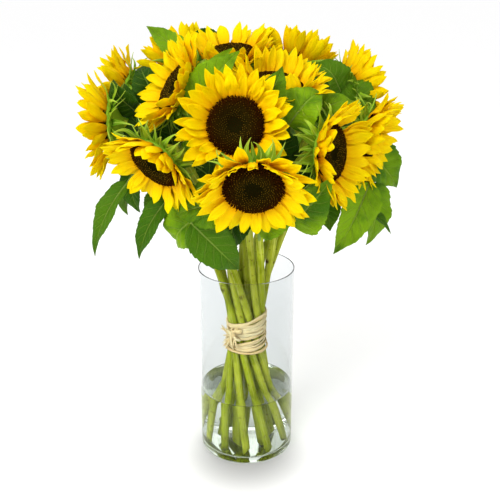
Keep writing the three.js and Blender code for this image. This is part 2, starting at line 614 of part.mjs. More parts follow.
function bouquet() {
  const group = new THREE.Group();
  const flowers = FLOWERS.map((flower) => {
    const line = new StemLine(flower);
    return { ...flower, line, frame: flowerFrame(flower), node: `stem_${flower.name}` };
  });
  const lines = flowers.map((flower) => flower.line);

  group.add(meshOf('vase', vaseSolid(), COLOURS.glass));
  group.add(meshOf('water', waterSolid(lines), COLOURS.water));
  const tie = tieSolid(lines);
  group.add(meshOf('raffia_tie', tie, COLOURS.raffia));
  place('raffia_tie', tie);

  for (const flower of flowers) {
    flower.green = [stemSolid(flower.line, STEM.radius, STEM.steps), calyxSolid(flower.frame)];
    flower.green.forEach((solid) => place(flower.node, solid));
    const disc = discSolid(flower.frame);
    place(`disc_${flower.name}`, disc);
    place(`petals_${flower.name}`, rootZone(flower.frame));
    group.add(meshOf(`disc_${flower.name}`, disc, COLOURS.disc));
  }
  // The foremost blooms open freely, the upper leaves lie against them, and the rest fits in.
  const growBlooms = (some) => some.forEach((flower) => {
    const bloom = bloomSolid(flower, flower.frame);
    group.add(meshOf(`petals_${flower.name}`, bloom, COLOURS.petal));
  });
  const growLeaves = (leaves, firstSeed) => leaves.forEach((leaf, k) => {
    const flower = flowers.find(({ name }) => name === leaf.stem);
    const found = leafSolid(leaf, flower.line, firstSeed + k);
    if (!found) return;
    flower.green.push(found.whole);
    place(flower.node, found.probe);
  });
  growBlooms(flowers.slice(0, FOREMOST));
  growLeaves(UPPER_LEAVES, 0);
  growBlooms(flowers.slice(FOREMOST));
  growLeaves(LOWER_LEAVES, UPPER_LEAVES.length);
  for (const flower of flowers) {
    for (let k = 0; k < BRACT.count; k += 1) {
      const seed = 50 * Number(flower.name) + k;
      const angle = 2 * Math.PI * (k + 0.6 * chance(seed)) / BRACT.count;
      const natural = -18 - 26 * chance(seed + 0.5);
      const length = BRACT.length * (0.8 + 0.4 * chance(seed + 0.7));
      const found = BRACT_BENDS.map((bend) => bractSolid(flower.frame, angle, natural + bend, length))
        .find((solid) => isClear(solid, flower.node));
      if (!found) continue;
      flower.green.push(found);
      place(flower.node, found);
    }
    group.add(meshOf(flower.node, fused(flower.green), COLOURS.green));
  }
  return group;
}

export default bouquet();
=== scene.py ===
# %% [markdown]
# # Sunflowers in a glass cylinder vase
# The real thing is a hand-tied bunch: sixteen cut sunflowers whose stems cross in a spiral,
# bound with raffia at the crossing and stood in a straight glass cylinder a third full of water.
# The CAD model fixes where every stem, head, petal and leaf goes. This lesson dresses it: each
# piece is modelled once by hand, and bent copies of it are laid where the CAD says.

# %% The frame
from math import atan2, cos, floor, pi, radians, sin, sqrt, tan
import bpy
import numpy as np
from mathutils import Matrix, Vector


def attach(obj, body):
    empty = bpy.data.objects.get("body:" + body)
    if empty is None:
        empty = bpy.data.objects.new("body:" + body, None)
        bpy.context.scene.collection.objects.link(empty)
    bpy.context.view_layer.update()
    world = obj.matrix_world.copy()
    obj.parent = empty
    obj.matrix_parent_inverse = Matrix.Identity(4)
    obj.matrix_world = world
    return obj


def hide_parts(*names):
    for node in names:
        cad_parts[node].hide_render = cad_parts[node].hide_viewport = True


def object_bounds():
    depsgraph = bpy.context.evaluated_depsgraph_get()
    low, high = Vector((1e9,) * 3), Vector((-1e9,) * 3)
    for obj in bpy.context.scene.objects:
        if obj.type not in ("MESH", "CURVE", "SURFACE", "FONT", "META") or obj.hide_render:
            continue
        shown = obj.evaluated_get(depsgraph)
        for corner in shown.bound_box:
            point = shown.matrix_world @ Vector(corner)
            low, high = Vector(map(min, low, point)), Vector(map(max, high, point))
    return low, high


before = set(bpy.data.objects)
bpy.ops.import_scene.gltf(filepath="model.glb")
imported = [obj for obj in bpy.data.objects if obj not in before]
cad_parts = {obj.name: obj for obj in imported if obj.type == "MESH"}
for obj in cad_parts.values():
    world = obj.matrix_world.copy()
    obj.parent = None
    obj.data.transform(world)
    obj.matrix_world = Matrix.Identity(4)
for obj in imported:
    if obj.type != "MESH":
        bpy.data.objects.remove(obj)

CAD_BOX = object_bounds()
MM = 0.001
print("CAD box", [tuple(round(v, 4) for v in corner) for corner in CAD_BOX])

# %% [markdown]
# ## Camera, light and floor
# The photograph looks down on the vase at about twenty degrees from a little under a metre.
# A pale room without edges is made by a wide floor and a white world. Clear glass only shows by
# what it bends, so the world is white where the camera looks straight at it and darker at both
# sides for light that the glass turns: that draws its grey edges. Light passes the clear vase
# and leaves hardly a shadow, so a soft grey shadow is painted into the floor's colour round the
# vase's foot.

# %% Camera
CAMERA_AT = (4.6 * MM, -885.6 * MM, 598.7 * MM)
CAMERA_PITCH = 69.7
LENS, SENSOR = 55.04, 36
LIGHT_BOUNCES = 32
CONTRAST = 0.92

camera_data = bpy.data.cameras.new("camera")
camera_data.lens = LENS
camera_data.sensor_width = SENSOR
camera = bpy.data.objects.new("camera", camera_data)
camera.location = CAMERA_AT
camera.rotation_euler = (radians(CAMERA_PITCH), 0, 0)
bpy.context.scene.collection.objects.link(camera)
bpy.context.scene.camera = camera
bpy.context.scene.view_settings.view_transform = "Standard"
bpy.context.scene.view_settings.gamma = CONTRAST
for kind in ("max", "transmission", "glossy"):
    setattr(bpy.context.scene.cycles, kind + "_bounces", LIGHT_BOUNCES)
print("camera", CAMERA_AT, "lens", LENS)

# %% A small kit for materials
class Nodes:
    """A node tree that is filled one node at a time."""

    def __init__(self, tree):
        self.tree = tree

    def feed(self, socket, value):
        if isinstance(value, bpy.types.NodeSocket):
            self.tree.links.new(value, socket)
        else:
            socket.default_value = value

    def add(self, kind, inputs, **settings):
        node = self.tree.nodes.new("ShaderNode" + kind)
        for key, value in settings.items():
            setattr(node, key, value)
        for socket, value in inputs.items():
            self.feed(node.inputs[socket], value)
        return node

    def math(self, operation, *values):
        return self.add("Math", dict(enumerate(values)), operation=operation).outputs[0]


class Look(Nodes):
    """A principled material, painted one layer over the other."""

    def __init__(self, name, constants):
        self.material = bpy.data.materials.new(name)
        self.material.use_nodes = True
        super().__init__(self.material.node_tree)
        self.shader = self.tree.nodes["Principled BSDF"]
        for socket, value in constants.items():
            self.shader.inputs[socket].default_value = value

    def band(self, value, low, high, share=1.0):
        """0 below low, the share above high, smooth between."""
        node = self.add("MapRange", {0: value, 1: low, 2: high}, interpolation_type="SMOOTHSTEP")
        return node.outputs[0] if share == 1 else self.math("MULTIPLY", node.outputs[0], share)

    def mix(self, share, below, above):
        return self.add("Mix", {0: share, 6: below, 7: above}, data_type="RGBA").outputs[2]

    def place(self, kind="UV", stretch=(1, 1, 1)):
        source = self.add("TexCoord", {}).outputs[kind]
        return self.add("Mapping", {0: source, 3: stretch}).outputs[0]

    def noise(self, scale, detail=3.0):
        """Noise on Object coordinates, or on the UV map where the scale is three stretches."""
        on_uv = isinstance(scale, tuple)
        where = self.place("UV", scale) if on_uv else self.place("Object")
        inputs = {"Vector": where, "Scale": 1.0 if on_uv else scale, "Detail": detail, "Roughness": 0.55}
        return self.add("TexNoise", inputs).outputs[0]

    def value(self, name):
        return self.add("Attribute", {}, attribute_name=name).outputs["Fac"]

    def uv(self):
        node = self.add("SeparateXYZ", {0: self.place()})
        return node.outputs[0], node.outputs[1]

    def colour(self, value):
        self.feed(self.shader.inputs["Base Color"], value)

    def rough(self, pattern, share, least):
        self.feed(self.shader.inputs["Roughness"], self.math("MULTIPLY_ADD", pattern, share, least))

    def bump(self, height, distance, strength):
        inputs = {"Height": height, "Distance": distance, "Strength": strength}
        self.feed(self.shader.inputs["Normal"], self.add("Bump", inputs).outputs[0])

    def let_light_through(self, tint):
        """What stands behind clear glass or in water is lit as if through a thin pane."""
        pane = self.add("BsdfTransparent", {"Color": tint}).outputs[0]
        from_lamp = self.add("LightPath", {}).outputs["Is Shadow Ray"]
        mixed = self.add("MixShader", {0: from_lamp, 1: self.shader.outputs[0], 2: pane})
        self.feed(self.tree.nodes["Material Output"].inputs["Surface"], mixed.outputs[0])


def rgb(red, green, blue):
    return (red, green, blue, 1.0)


def living(shine, weight, depth, reds):
    """Constants of a plant's skin: little shine, and light that goes a little way into it."""
    return {"Specular IOR Level": shine, "Subsurface Weight": weight,
            "Subsurface Scale": depth, "Subsurface Radius": reds}


print("material kit ready")

# %% Floor and world
FLOOR_SIZE, FLOOR_SUNK = 60, 0.2 * MM
PAINTED_SHADOW_AT = (0, -40 * MM, 0)
PAINTED_SHADOW_REACH = (22 * MM, 98 * MM)  # where the painted shadow at the vase's foot begins and ends
PAINTED_FOOT_SHADOW, PALE, PALER = rgb(0.55, 0.55, 0.55), rgb(0.97, 0.97, 0.97), rgb(0.98, 0.98, 0.98)
WORLD_SEEN, WORLD_LIGHT = 1.0, 1.06
SIDE_SHADE, SIDE_BAND = 0.75, (0.55, 0.95)

floor_look = Look("pale_floor", {"Roughness": 0.9, "Specular IOR Level": 0.1})
pale = floor_look.mix(floor_look.noise(30.0), PALE, PALER)
# Painted shadow: the floor's colour turns grey towards the vase's foot.
from_foot = floor_look.add("VectorMath", {0: floor_look.place("Object"), 1: PAINTED_SHADOW_AT},
                           operation="DISTANCE")
away = floor_look.band(from_foot.outputs["Value"], *PAINTED_SHADOW_REACH)
floor_look.colour(floor_look.mix(away, PAINTED_FOOT_SHADOW, pale))

bpy.ops.object.select_all(action="DESELECT")
bpy.ops.mesh.primitive_plane_add(size=FLOOR_SIZE, location=(0, 0, -FLOOR_SUNK))
ground = bpy.context.object
ground.name = "floor"
ground.data.materials.append(floor_look.material)

world = bpy.data.worlds.new("studio")
bpy.context.scene.world = world
world.use_nodes = True
sky = Nodes(world.node_tree)
background = sky.tree.nodes["Background"]
background.inputs["Color"].default_value = (1, 1, 1, 1)
direction = sky.add("SeparateXYZ", {0: sky.add("TexCoord", {}).outputs["Generated"]})
sideways = sky.math("ABSOLUTE", direction.outputs[0])
shade = sky.add("MapRange", {0: sideways, 1: SIDE_BAND[0], 2: SIDE_BAND[1],
                             3: WORLD_LIGHT, 4: WORLD_LIGHT * SIDE_SHADE})
seen = sky.add("LightPath", {}).outputs["Is Camera Ray"]
strength = sky.add("Mix", {0: seen, 2: shade.outputs[0], 3: WORLD_SEEN})
sky.feed(background.inputs["Strength"], strength.outputs[0])
print("floor and world")

# %% Lamps
HEADS_AT = (0, 0, 0.4)
LAMPS = [("key", (-0.9, -1.3, 1.7), 0.8, 21), ("fill", (1.4, -1.1, 1.0), 1.2, 2),
         ("back", (0.3, 1.6, 1.5), 1.2, 3)]  # name, place and size in metres, power in watts

for name, at, size, power in LAMPS:
    lamp = bpy.data.lights.new(name, "AREA")
    lamp.size = size
    lamp.energy = power
    holder = bpy.data.objects.new(name, lamp)
    holder.location = at
    holder.rotation_euler = (Vector(HEADS_AT) - Vector(at)).to_track_quat("-Z", "Y").to_euler()
    bpy.context.scene.collection.objects.link(holder)
print(len(LAMPS), "soft lamps")

# %% [markdown]
# ## Parts, copies and pieces
# A flower has hundreds of like parts. One is modelled by hand, read into a Part, and each copy is
# bent by a small function into its own place; the copies of one head become one mesh. Modelling
# every petal by hand would look no better, and a Curve modifier for each would be slow.

# %% Seeded chance
def chance(seed):
    """The same number between 0 and 1 for the same seed, on every run."""
    wave = sin(seed * 12.9898) * 43758.5453
    return wave - floor(wave)


def vary(seed, least, more):
    """A number between least and least + more."""
    return least + more * chance(seed)


def spread(seed, width):
    """A number up to half the width to either side of nought."""
    return width * (chance(seed) - 0.5)


print("seed 1 gives", round(chance(1), 3))

# %% Parts and pieces
class Part:
    """Points, faces, a UV for each face corner, and two numbers for each point."""

    def __init__(self, points, faces, uv, tint=0.0, shade=None):
        self.points = np.asarray(points, float)
        self.faces = faces
        self.uv = np.asarray(uv, float)
        self.tint = tint
        self.shade = np.zeros(len(self.points)) if shade is None else np.asarray(shade, float)

    def bent(self, place, tint=0.0, shade=None):
        kept = self.shade if shade is None else shade
        return Part(place(self.points), self.faces, self.uv, tint, kept)


def read_part(made):
    """Takes a hand-modelled object apart and removes it."""
    mesh = made.data
    points = np.empty(3 * len(mesh.vertices))
    mesh.vertices.foreach_get("co", points)
    faces = [tuple(face.vertices) for face in mesh.polygons]
    uv = np.zeros(2 * len(mesh.loops))
    if mesh.uv_layers.active:
        mesh.uv_layers.active.data.foreach_get("uv", uv)
    bpy.data.objects.remove(made)
    return Part(points.reshape(-1, 3), faces, uv.reshape(-1, 2))


def dress(made, look, slot, *nodes):
    """Gives a finished mesh its material and its body, and hides the CAD nodes that it stands for."""
    made.data.materials.clear()
    made.data.materials.append(look.material)
    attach(made, "root")
    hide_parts(*nodes)


def build(name, parts, look, slot, *nodes):
    """One smooth mesh from many parts."""
    starts = np.cumsum([0] + [len(part.points) for part in parts])
    faces = [tuple(int(start) + corner for corner in face)
             for start, part in zip(starts, parts) for face in part.faces]
    mesh = bpy.data.meshes.new(name)
    mesh.from_pydata(np.concatenate([part.points for part in parts]).tolist(), [], faces)
    layer = mesh.uv_layers.new(name="UVMap")
    layer.data.foreach_set("uv", np.concatenate([part.uv for part in parts]).ravel())
    columns = {"tint": [np.full(len(part.points), part.tint) for part in parts],
               "shade": [part.shade for part in parts]}
    for column, values in columns.items():
        attribute = mesh.attributes.new(column, "FLOAT", "POINT")
        attribute.data.foreach_set("value", np.concatenate(values))
    mesh.polygons.foreach_set("use_smooth", np.ones(len(faces), bool))
    made = bpy.data.objects.new(name, mesh)
    bpy.context.scene.collection.objects.link(made)
    dress(made, look, slot, *nodes)


print("part kit ready")

# %% Directions and curves
def turned(vector, axis, degrees):
    return np.array(Matrix.Rotation(radians(degrees), 3, Vector(axis)) @ Vector(vector))


def unit(vector):
    return np.asarray(vector) / np.linalg.norm(vector)


def on_circle(radius, degrees, height):
    angle = radians(degrees)
    return np.array([radius * cos(angle), radius * sin(angle), height])


def directions(path):
    along = np.gradient(path, axis=0)
    return along / np.linalg.norm(along, axis=1)[:, None]


def travelled(path):
    return np.concatenate([[0], np.cumsum(np.linalg.norm(np.diff(path, axis=0), axis=1))])


def smooth_between(where, knots, values):
    """A soft curve through a few values: cubic steps with the slopes of their neighbours."""
    knots, values = np.asarray(knots, float), np.asarray(values, float)
    slopes = np.gradient(values, knots)
    at = np.clip(np.searchsorted(knots, where) - 1, 0, len(knots) - 2)
    width = knots[at + 1] - knots[at]
    t = np.clip((where - knots[at]) / width, 0, 1)
    return (values[at] * (1 + 2 * t) * (1 - t) ** 2 + slopes[at] * width * t * (1 - t) ** 2
            + values[at + 1] * t * t * (3 - 2 * t) + slopes[at + 1] * width * t * t * (t - 1))


print("halfway up a soft curve:", smooth_between(np.array(0.5), [0, 1], [0, 1]))

# %% Rings and rods
def loft(rings, length, tint=0.0, shade=None):
    """Closed rings of points joined one to the next, with both ends filled. The UV map has the
    way round in U and the length in V."""
    count, sides = len(rings), len(rings[0])
    faces, uv = [], []
    for k in range(count - 1):
        low, high = k * sides, (k + 1) * sides
        for s in range(sides):
            ahead = (s + 1) % sides
            faces.append((low + s, low + ahead, high + ahead, high + s))
            left, right = s / sides, (s + 1) / sides
            uv += [(left, length[k]), (right, length[k]), (right, length[k + 1]), (left, length[k + 1])]
    for ring, end in ((range(sides)[::-1], 0), (range((count - 1) * sides, count * sides), -1)):
        faces.append(tuple(ring))
        uv += [(0.5, length[end])] * sides
    return Part(np.concatenate(rings), faces, uv, tint, shade)


def tube(path, radii, sides, tint=0.0, shade=None):
    """A closed round rod along a path. radii is one number a ring, or one for every point."""
    along = directions(path)
    radii = np.reshape(radii, (len(path), -1)) * np.ones((len(path), sides))
    across = unit(np.cross(along[0], (0.3, 1, 0.2)))
    angles = 2 * pi * np.arange(sides) / sides
    rings = []
    for middle, towards, size in zip(path, along, radii):
        across = unit(across - towards * across.dot(towards))
        other = np.cross(towards, across)
        rings.append(middle + size[:, None] * (
            np.cos(angles)[:, None] * across + np.sin(angles)[:, None] * other))
    return loft(rings, travelled(path), tint, shade)


print("rod kit ready")

# %% Editing by hand
def edit(made, kind="VERT"):
    """Opens one object for editing, with nothing in it selected."""
    bpy.ops.object.select_all(action="DESELECT")
    made.select_set(True)
    bpy.context.view_layer.objects.active = made
    bpy.ops.object.mode_set(mode="EDIT")
    bpy.ops.mesh.select_mode(type=kind)
    done()


def pick(made, wanted=lambda co: True):
    """Selects the points that a test on their place wants, and goes back to editing."""
    for point in made.data.vertices:
        point.select = bool(wanted(point.co))
    bpy.ops.object.mode_set(mode="EDIT")


def resize(size):
    bpy.ops.transform.resize(value=size, center_override=(0, 0, 0))


def done():
    bpy.ops.mesh.select_all(action="DESELECT")
    bpy.ops.object.mode_set(mode="OBJECT")


def thicken(made, thickness, offset):
    bpy.context.view_layer.objects.active = made
    modifier = made.modifiers.new("solidify", "SOLIDIFY")
    modifier.thickness = thickness
    modifier.offset = offset
    bpy.ops.object.modifier_apply(modifier=modifier.name)


def grid(rows, columns):
    """A flat grid of one metre, round the origin."""
    bpy.ops.object.select_all(action="DESELECT")
    bpy.ops.mesh.primitive_grid_add(x_subdivisions=rows, y_subdivisions=columns, size=1)
    edit(bpy.context.object)
    return bpy.context.object


print("editing kit ready")

# %% [markdown]
# ## Where the flowers are
# Each seed disc in the frame is flat behind, so its widest flat side gives the middle of a head
# and the way that it faces. The stem's line, the petals' pitches and the leaves' places follow
# the same rules as the CAD model, and the frame's own corners tell which of the tried bends each
# petal and leaf has there.

# %% Heads
SAME_WAY = 0.9999


class Head:
    """A flower's own frame: right and up lie in the plane of its disc, axis is where it faces."""

    def __init__(self, number):
        self.number = number
        self.name = f"{number:02d}"
        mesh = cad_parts["disc_" + self.name].data
        normals = np.array([face.normal for face in mesh.polygons])
        areas = np.array([face.area for face in mesh.polygons])
        middles = np.array([face.center for face in mesh.polygons])
        flat = (normals @ normals.T > SAME_WAY) @ areas
        back = normals @ normals[flat.argmax()] > SAME_WAY
        self.middle = (middles[back] * areas[back][:, None]).sum(0) / areas[back].sum()
        self.axis = -unit(normals[flat.argmax()])
        self.up = unit(np.array([0, 0, 1.0]) - self.axis * self.axis[2])
        self.right = np.cross(self.up, self.axis)

    def world(self, points):
        return self.middle + points @ np.array([self.right, self.up, self.axis])

    def round(self, radius, angle, height):
        """The point at a radius, angle and height over the disc's back."""
        return self.world(np.array([radius * cos(angle), radius * sin(angle), height]))

    def swung(self, out, aside, level, angle):
        """Points given outwards, sideways and upwards, turned to their angle on the disc."""
        c, s = cos(angle), sin(angle)
        return self.world(np.stack([out * c - aside * s, out * s + aside * c, level], axis=1))


def node_points(name):
    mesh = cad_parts[name].data
    points = np.empty(3 * len(mesh.vertices))
    mesh.vertices.foreach_get("co", points)
    return points.reshape(-1, 3)


HEADS = [Head(number) for number in range(1, 17)]
for head in HEADS[:2]:
    print("head", head.name, "at", np.round(head.middle, 3), "faces", np.round(head.axis, 2))

# %% Stem lines
# The slot of each stem in the bundle and the length of its bent neck, as in the CAD model.
SLOTS = ["outer 3", "outer 2", "outer 0", "outer 1", "inner 4", "inner 0", "outer 4", "outer 5",
         "inner 1", "outer 6", "outer 9", "outer 10", "inner 3", "inner 2", "outer 7", "outer 8"]
NECKS = [40, 45, 45, 40, 60, 60, 45, 45, 50, 45, 45, 45, 50, 50, 45, 45]
RINGS = {"outer": (18.6, 11, -90), "inner": (8.6, 5, 34)}
WAIST = 162
FOOT_SPREAD = 2.65
TWIST = 66
STRAIGHT = 0.38
FLOOR_TOP = 8
STEM_RADIUS = 4.4
STEM_CLEAR = 0.4
CALYX_END = -15.5
CHORDS = 8


class StemLine:
    """Straight from its foot to the waist, then one smooth curve to the back of its flower."""

    def __init__(self, head):
        ring, index = SLOTS[head.number - 1].split()
        radius, count, start = RINGS[ring]
        angle = start + 360 * int(index) / count
        self.waist = on_circle(radius, angle, WAIST)
        self.foot = on_circle(radius * FOOT_SPREAD, angle + TWIST, 0)
        slope = np.linalg.norm(self.foot - on_circle(radius, angle, 0)) / WAIST
        self.foot[2] = FLOOR_TOP + STEM_CLEAR + STEM_RADIUS * slope
        end = head.round(0, 0, CALYX_END * MM) / MM
        reach = np.linalg.norm(end - self.waist) * STRAIGHT
        towards = unit(self.waist - self.foot)
        neck = NECKS[head.number - 1]
        self.bends = [self.waist, self.waist + towards * reach, end - head.axis * neck, end]

    def upper(self, t):
        t = np.asarray(t)[..., None]
        a, b, c, d = self.bends
        return a * (1 - t) ** 3 + 3 * b * t * (1 - t) ** 2 + 3 * c * t * t * (1 - t) + d * t ** 3

    def path(self, lower=14, upper=46):
        """The whole line in metres."""
        shares = np.linspace(0, 1, lower, endpoint=False)[:, None]
        straight = self.foot + (self.waist - self.foot) * shares
        return np.concatenate([straight, self.upper(np.linspace(0, 1, upper))]) * MM

    def at_height(self, height):
        """The middle of the CAD stem's chords, where they first are as high as asked."""
        corners = np.concatenate([[self.foot], self.upper(np.linspace(0, 1, CHORDS + 1))])
        above = int(np.argmax(corners[:, 2] >= height))
        low, high = corners[above - 1], corners[above]
        return low + (high - low) * (height - low[2]) / (high[2] - low[2])


LINES = {head.name: StemLine(head) for head in HEADS}
print("stem 01 foot", np.round(LINES["01"].foot, 1), "mm")

# %% [markdown]
# ## Ray petals
# A ray petal is a thin pointed tongue, gathered at its root and lightly grooved along its length.
# It could be cut from a plane with a texture, but its grooves and its thickness catch the light.
# One is shaped by hand from a grid: its grooves are pushed in column by column, its rows are
# narrowed one after the other, and it gets a real thickness. Copies are then bent along each
# petal's own curve.

# %% One petal
PETAL_SIZE = (38 * MM, 12.8 * MM, 0.35 * MM)  # length, width and thickness
PETAL_OUTLINE = ([0, 0.12, 0.3, 0.5, 0.66, 0.8, 0.91, 1],
                 [0.42, 0.6, 0.84, 1, 0.97, 0.76, 0.42, 0.03])


def tongue_by_hand(size, outline, rows, columns, groove, cup):
    """A flat grid, grooved column by column, narrowed row by row and made solid."""
    length, width, thick = size
    made = grid(rows, columns)
    for column in range(columns + 1):
        side = 2 * column / columns - 1
        depth = cup * side * side - groove * abs(sin(1.5 * pi * side))
        pick(made, lambda co: abs(2 * co.y - side) < 0.5 / columns)
        bpy.ops.transform.translate(value=(0, 0, depth))
        done()
    for row in range(rows + 1):
        share = row / rows
        narrow = float(smooth_between(np.array(share), *outline))
        pick(made, lambda co: abs(co.x + 0.5 - share) < 0.3 / rows)
        resize((1, narrow, narrow))
        done()
    pick(made)
    bpy.ops.transform.translate(value=(0.5, 0, 0))
    resize((length, width, 1))
    done()
    thicken(made, thick, 0)
    return read_part(made)


PETAL = tongue_by_hand(PETAL_SIZE, PETAL_OUTLINE, rows=14, columns=6, groove=1.0 * MM, cup=2.0 * MM)
print("petal", len(PETAL.faces), "faces, size mm", np.round(np.ptp(PETAL.points, axis=0) / MM, 1))

# %% Bending along a curve
def sweep(head, angle, root, pitches, knots, size=1.0, wide=1.0, twist=0.0, drift=0.0,
          flutter=0.0, hook=0.0):
    """Places a flat tongue on a head: it leaves the root, a radius and a height, outwards at an
    angle, and its pitch follows the knots, which are lengths, along it. Lengths are in
    millimetres and turns in degrees, apart from the angle, which is in radians."""
    def place(points):
        reach = points[:, 0].max()
        fine = np.linspace(0, 1.02 * reach, 60)
        rise = np.radians(np.interp(fine, np.array(knots) * MM, pitches))
        step = np.diff(fine, prepend=0)
        radius = np.cumsum(np.cos(rise) * step) * size + root[0] * MM
        height = np.cumsum(np.sin(rise) * step) * size + root[1] * MM
        s, y, z = points[:, 0], points[:, 1] * wide, points[:, 2]
        roll = np.radians(twist) * (s / reach) ** 2
        edge = y / max(np.abs(y).max(), MM)
        z = z + flutter * MM * edge * np.sin(0.3 * s / MM + 7 * angle + 2.2 * edge)
        y, z = y * np.cos(roll) - z * np.sin(roll), y * np.sin(roll) + z * np.cos(roll)
        y = y + s * size * tan(radians(drift)) + hook * MM * np.clip(s / reach, 0, 1) ** 2.5
        slope = np.interp(s, fine, rise)
        out = np.interp(s, fine, radius) - z * np.sin(slope)
        level = np.interp(s, fine, height) + z * np.cos(slope)
        return head.swung(out, y, level, angle)
    return place


print("sweep ready")

# %% The pitches that the CAD petals have
CUPS = [42, 46, 46, 44, 44, 46, 50, 48, 48, 48, 48, 48, 50, 48, 46, 46]
LEANS = [32, 0, 6, 18, -6, -4, 6, 8, 0, 4, 4, 6, 0, 0, 6, 6]
BLOOM_ROOT = 30
FRONT_LEVEL, BACK_LEVEL = -1.15, -2.85
FRONT_LENGTHS, BACK_LENGTHS = [9, 12, 17], [17, 20]
CAD_PETALS = 20
FIRST_PITCH = 50
PETAL_BENDS = [0, 10, -10, 20, -20, 30, 42, 55, 68, -32, 80, 92]
PETAL_SIZES = [1, 0.75, 0.5]
BACK_DROP = 16
FOUND = 0.2 * MM


class Ray:
    """One petal of the CAD model: its angle, its pitches and its size, or no size at all."""

    def __init__(self, head, k, points):
        step = 2 * pi / CAD_PETALS
        seed = 100 * head.number + k
        self.angle = step * chance(head.number) + (k + 0.5) * step
        self.front = k % 2 == 0
        lengths = FRONT_LENGTHS if self.front else BACK_LENGTHS
        level = FRONT_LEVEL if self.front else BACK_LEVEL
        natural = (CUPS[head.number - 1] + LEANS[head.number - 1] * sin(self.angle)
                   + spread(seed, 10) - (0 if self.front else BACK_DROP))
        self.curl = 24 * (chance(seed + 0.5) - 0.6)
        self.size, self.pitch = 0.0, natural
        for size in PETAL_SIZES:
            for bend in PETAL_BENDS:
                pitch = natural + bend
                pitches = [min(pitch, FIRST_PITCH), pitch, pitch + self.curl]
                if not self.front:
                    pitches = [pitches[0], pitches[2]]
                rise = np.radians(pitches)
                radius = BLOOM_ROOT + size * np.dot(lengths, np.cos(rise))
                height = level + size * np.dot(lengths, np.sin(rise))
                tip = head.round(radius * MM, self.angle, height * MM)
                if not self.size and np.linalg.norm(points - tip, axis=1).min() < FOUND:
                    self.size, self.pitch = size, pitch


RAYS = {head.name: [Ray(head, k, node_points("petals_" + head.name)) for k in range(CAD_PETALS)]
        for head in HEADS}
missing = [(name, k) for name, rays in RAYS.items() for k, ray in enumerate(rays) if not ray.size]
print("CAD petals found:", sum(map(len, RAYS.values())) - len(missing), "missing", missing)

# %% Finer petals between them
LAYERS = [  # CAD layer, petals, root radius and height in mm, lift in degrees, mean size
    ("front", 17, 26.5, -0.6, 3, 0.97),
    ("front", 15, 26.8, -1.6, -6, 1.02),
    ("back", 19, 27.0, -2.8, 0, 1.04),
]
PETAL_KNOTS = [0, 7, 17, 36]
ROOT_DROP = 12
MISSING_SIZE = 0.45  # of petals beside one that the CAD model had to leave out
SIZES, WIDTHS = (0.88, 0.22), (0.76, 0.44)  # least, and how much more
ANGLES, PITCHES, CURLS, TWISTS, DRIFTS, HOOKS = 0.6, 12, 36, 70, 20, 9  # widths of the spreads
FLUTTER = 2.0
SHORTER = [1, 0.95, 0.9, 0.85, 0.8, 0.75, 0.7]
BOX_MARGIN = 0.3 * MM
UNDER_LEAF = {(6, 2, 12)}  # head, layer and number of each petal that a leaf would cut


def inside_box(points):
    """True if all points stay inside the CAD model's box."""
    low, high = np.array(CAD_BOX[0]) + BOX_MARGIN, np.array(CAD_BOX[1]) - BOX_MARGIN
    return bool((points.min(0) > low).all() and (points.max(0) < high).all())


def between(rays, angle):
    """Pitch, curl and size for any angle, from the two CAD petals of a layer beside it."""
    turn = 2 * pi
    gaps = sorted(((angle - ray.angle) % turn, index) for index, ray in enumerate(rays))
    before = rays[gaps[0][1]]
    after = rays[gaps[-1][1]]
    share = gaps[0][0] / ((after.angle - before.angle) % turn)
    blend = share * share * (3 - 2 * share)
    values = [(ray.pitch, ray.curl, ray.size or MISSING_SIZE) for ray in (before, after)]
    return [a + (b - a) * blend for a, b in zip(*values)]


def petals_of(head):
    parts = []
    for layer, (name, count, radius, level, lift, size) in enumerate(LAYERS):
        rays = [ray for ray in RAYS[head.name] if ray.front == (name == "front")]
        for k in range(count):
            if (head.number, layer, k) in UNDER_LEAF:
                continue
            seed = 1000 * head.number + 100 * layer + k
            angle = 2 * pi * (k + 0.5 * layer + spread(seed, ANGLES)) / count + rays[0].angle
            pitch, curl, share = between(rays, angle)
            pitch += lift + spread(seed + 0.3, PITCHES)
            first = min(pitch, FIRST_PITCH)
            pitches = [first - ROOT_DROP, first, pitch, pitch + (curl + spread(seed + 0.6, CURLS))]
            for shorter in SHORTER:
                place = sweep(head, angle, (radius, level), pitches, PETAL_KNOTS,
                              size=shorter * size * share * vary(seed + 0.1, *SIZES),
                              wide=vary(seed + 0.2, *WIDTHS), twist=spread(seed + 0.4, TWISTS),
                              drift=spread(seed + 0.7, DRIFTS), flutter=FLUTTER * chance(seed + 0.8),
                              hook=spread(seed + 0.85, HOOKS))
                petal = PETAL.bent(place, tint=chance(seed + 0.9))
                if inside_box(petal.points):
                    break
            parts.append(petal)
    return parts


print("petals in a head:", sum(row[1] for row in LAYERS))

# %% [markdown]
# The yellow isn't one colour: each petal is orange towards its root, clear yellow along its
# length and paler at its tip, with fine streaks, and no two petals are quite alike. The UV map
# runs along the petal, so the colours follow it however it is bent.

# %% Petal finish
ROOT_ORANGE, CLEAR_YELLOW, TIP_YELLOW = rgb(0.94, 0.37, 0.0), rgb(1.0, 0.69, 0.0), rgb(1.0, 0.81, 0.0)
WARMER, STREAK = rgb(0.98, 0.53, 0.0), rgb(0.97, 0.47, 0.0)

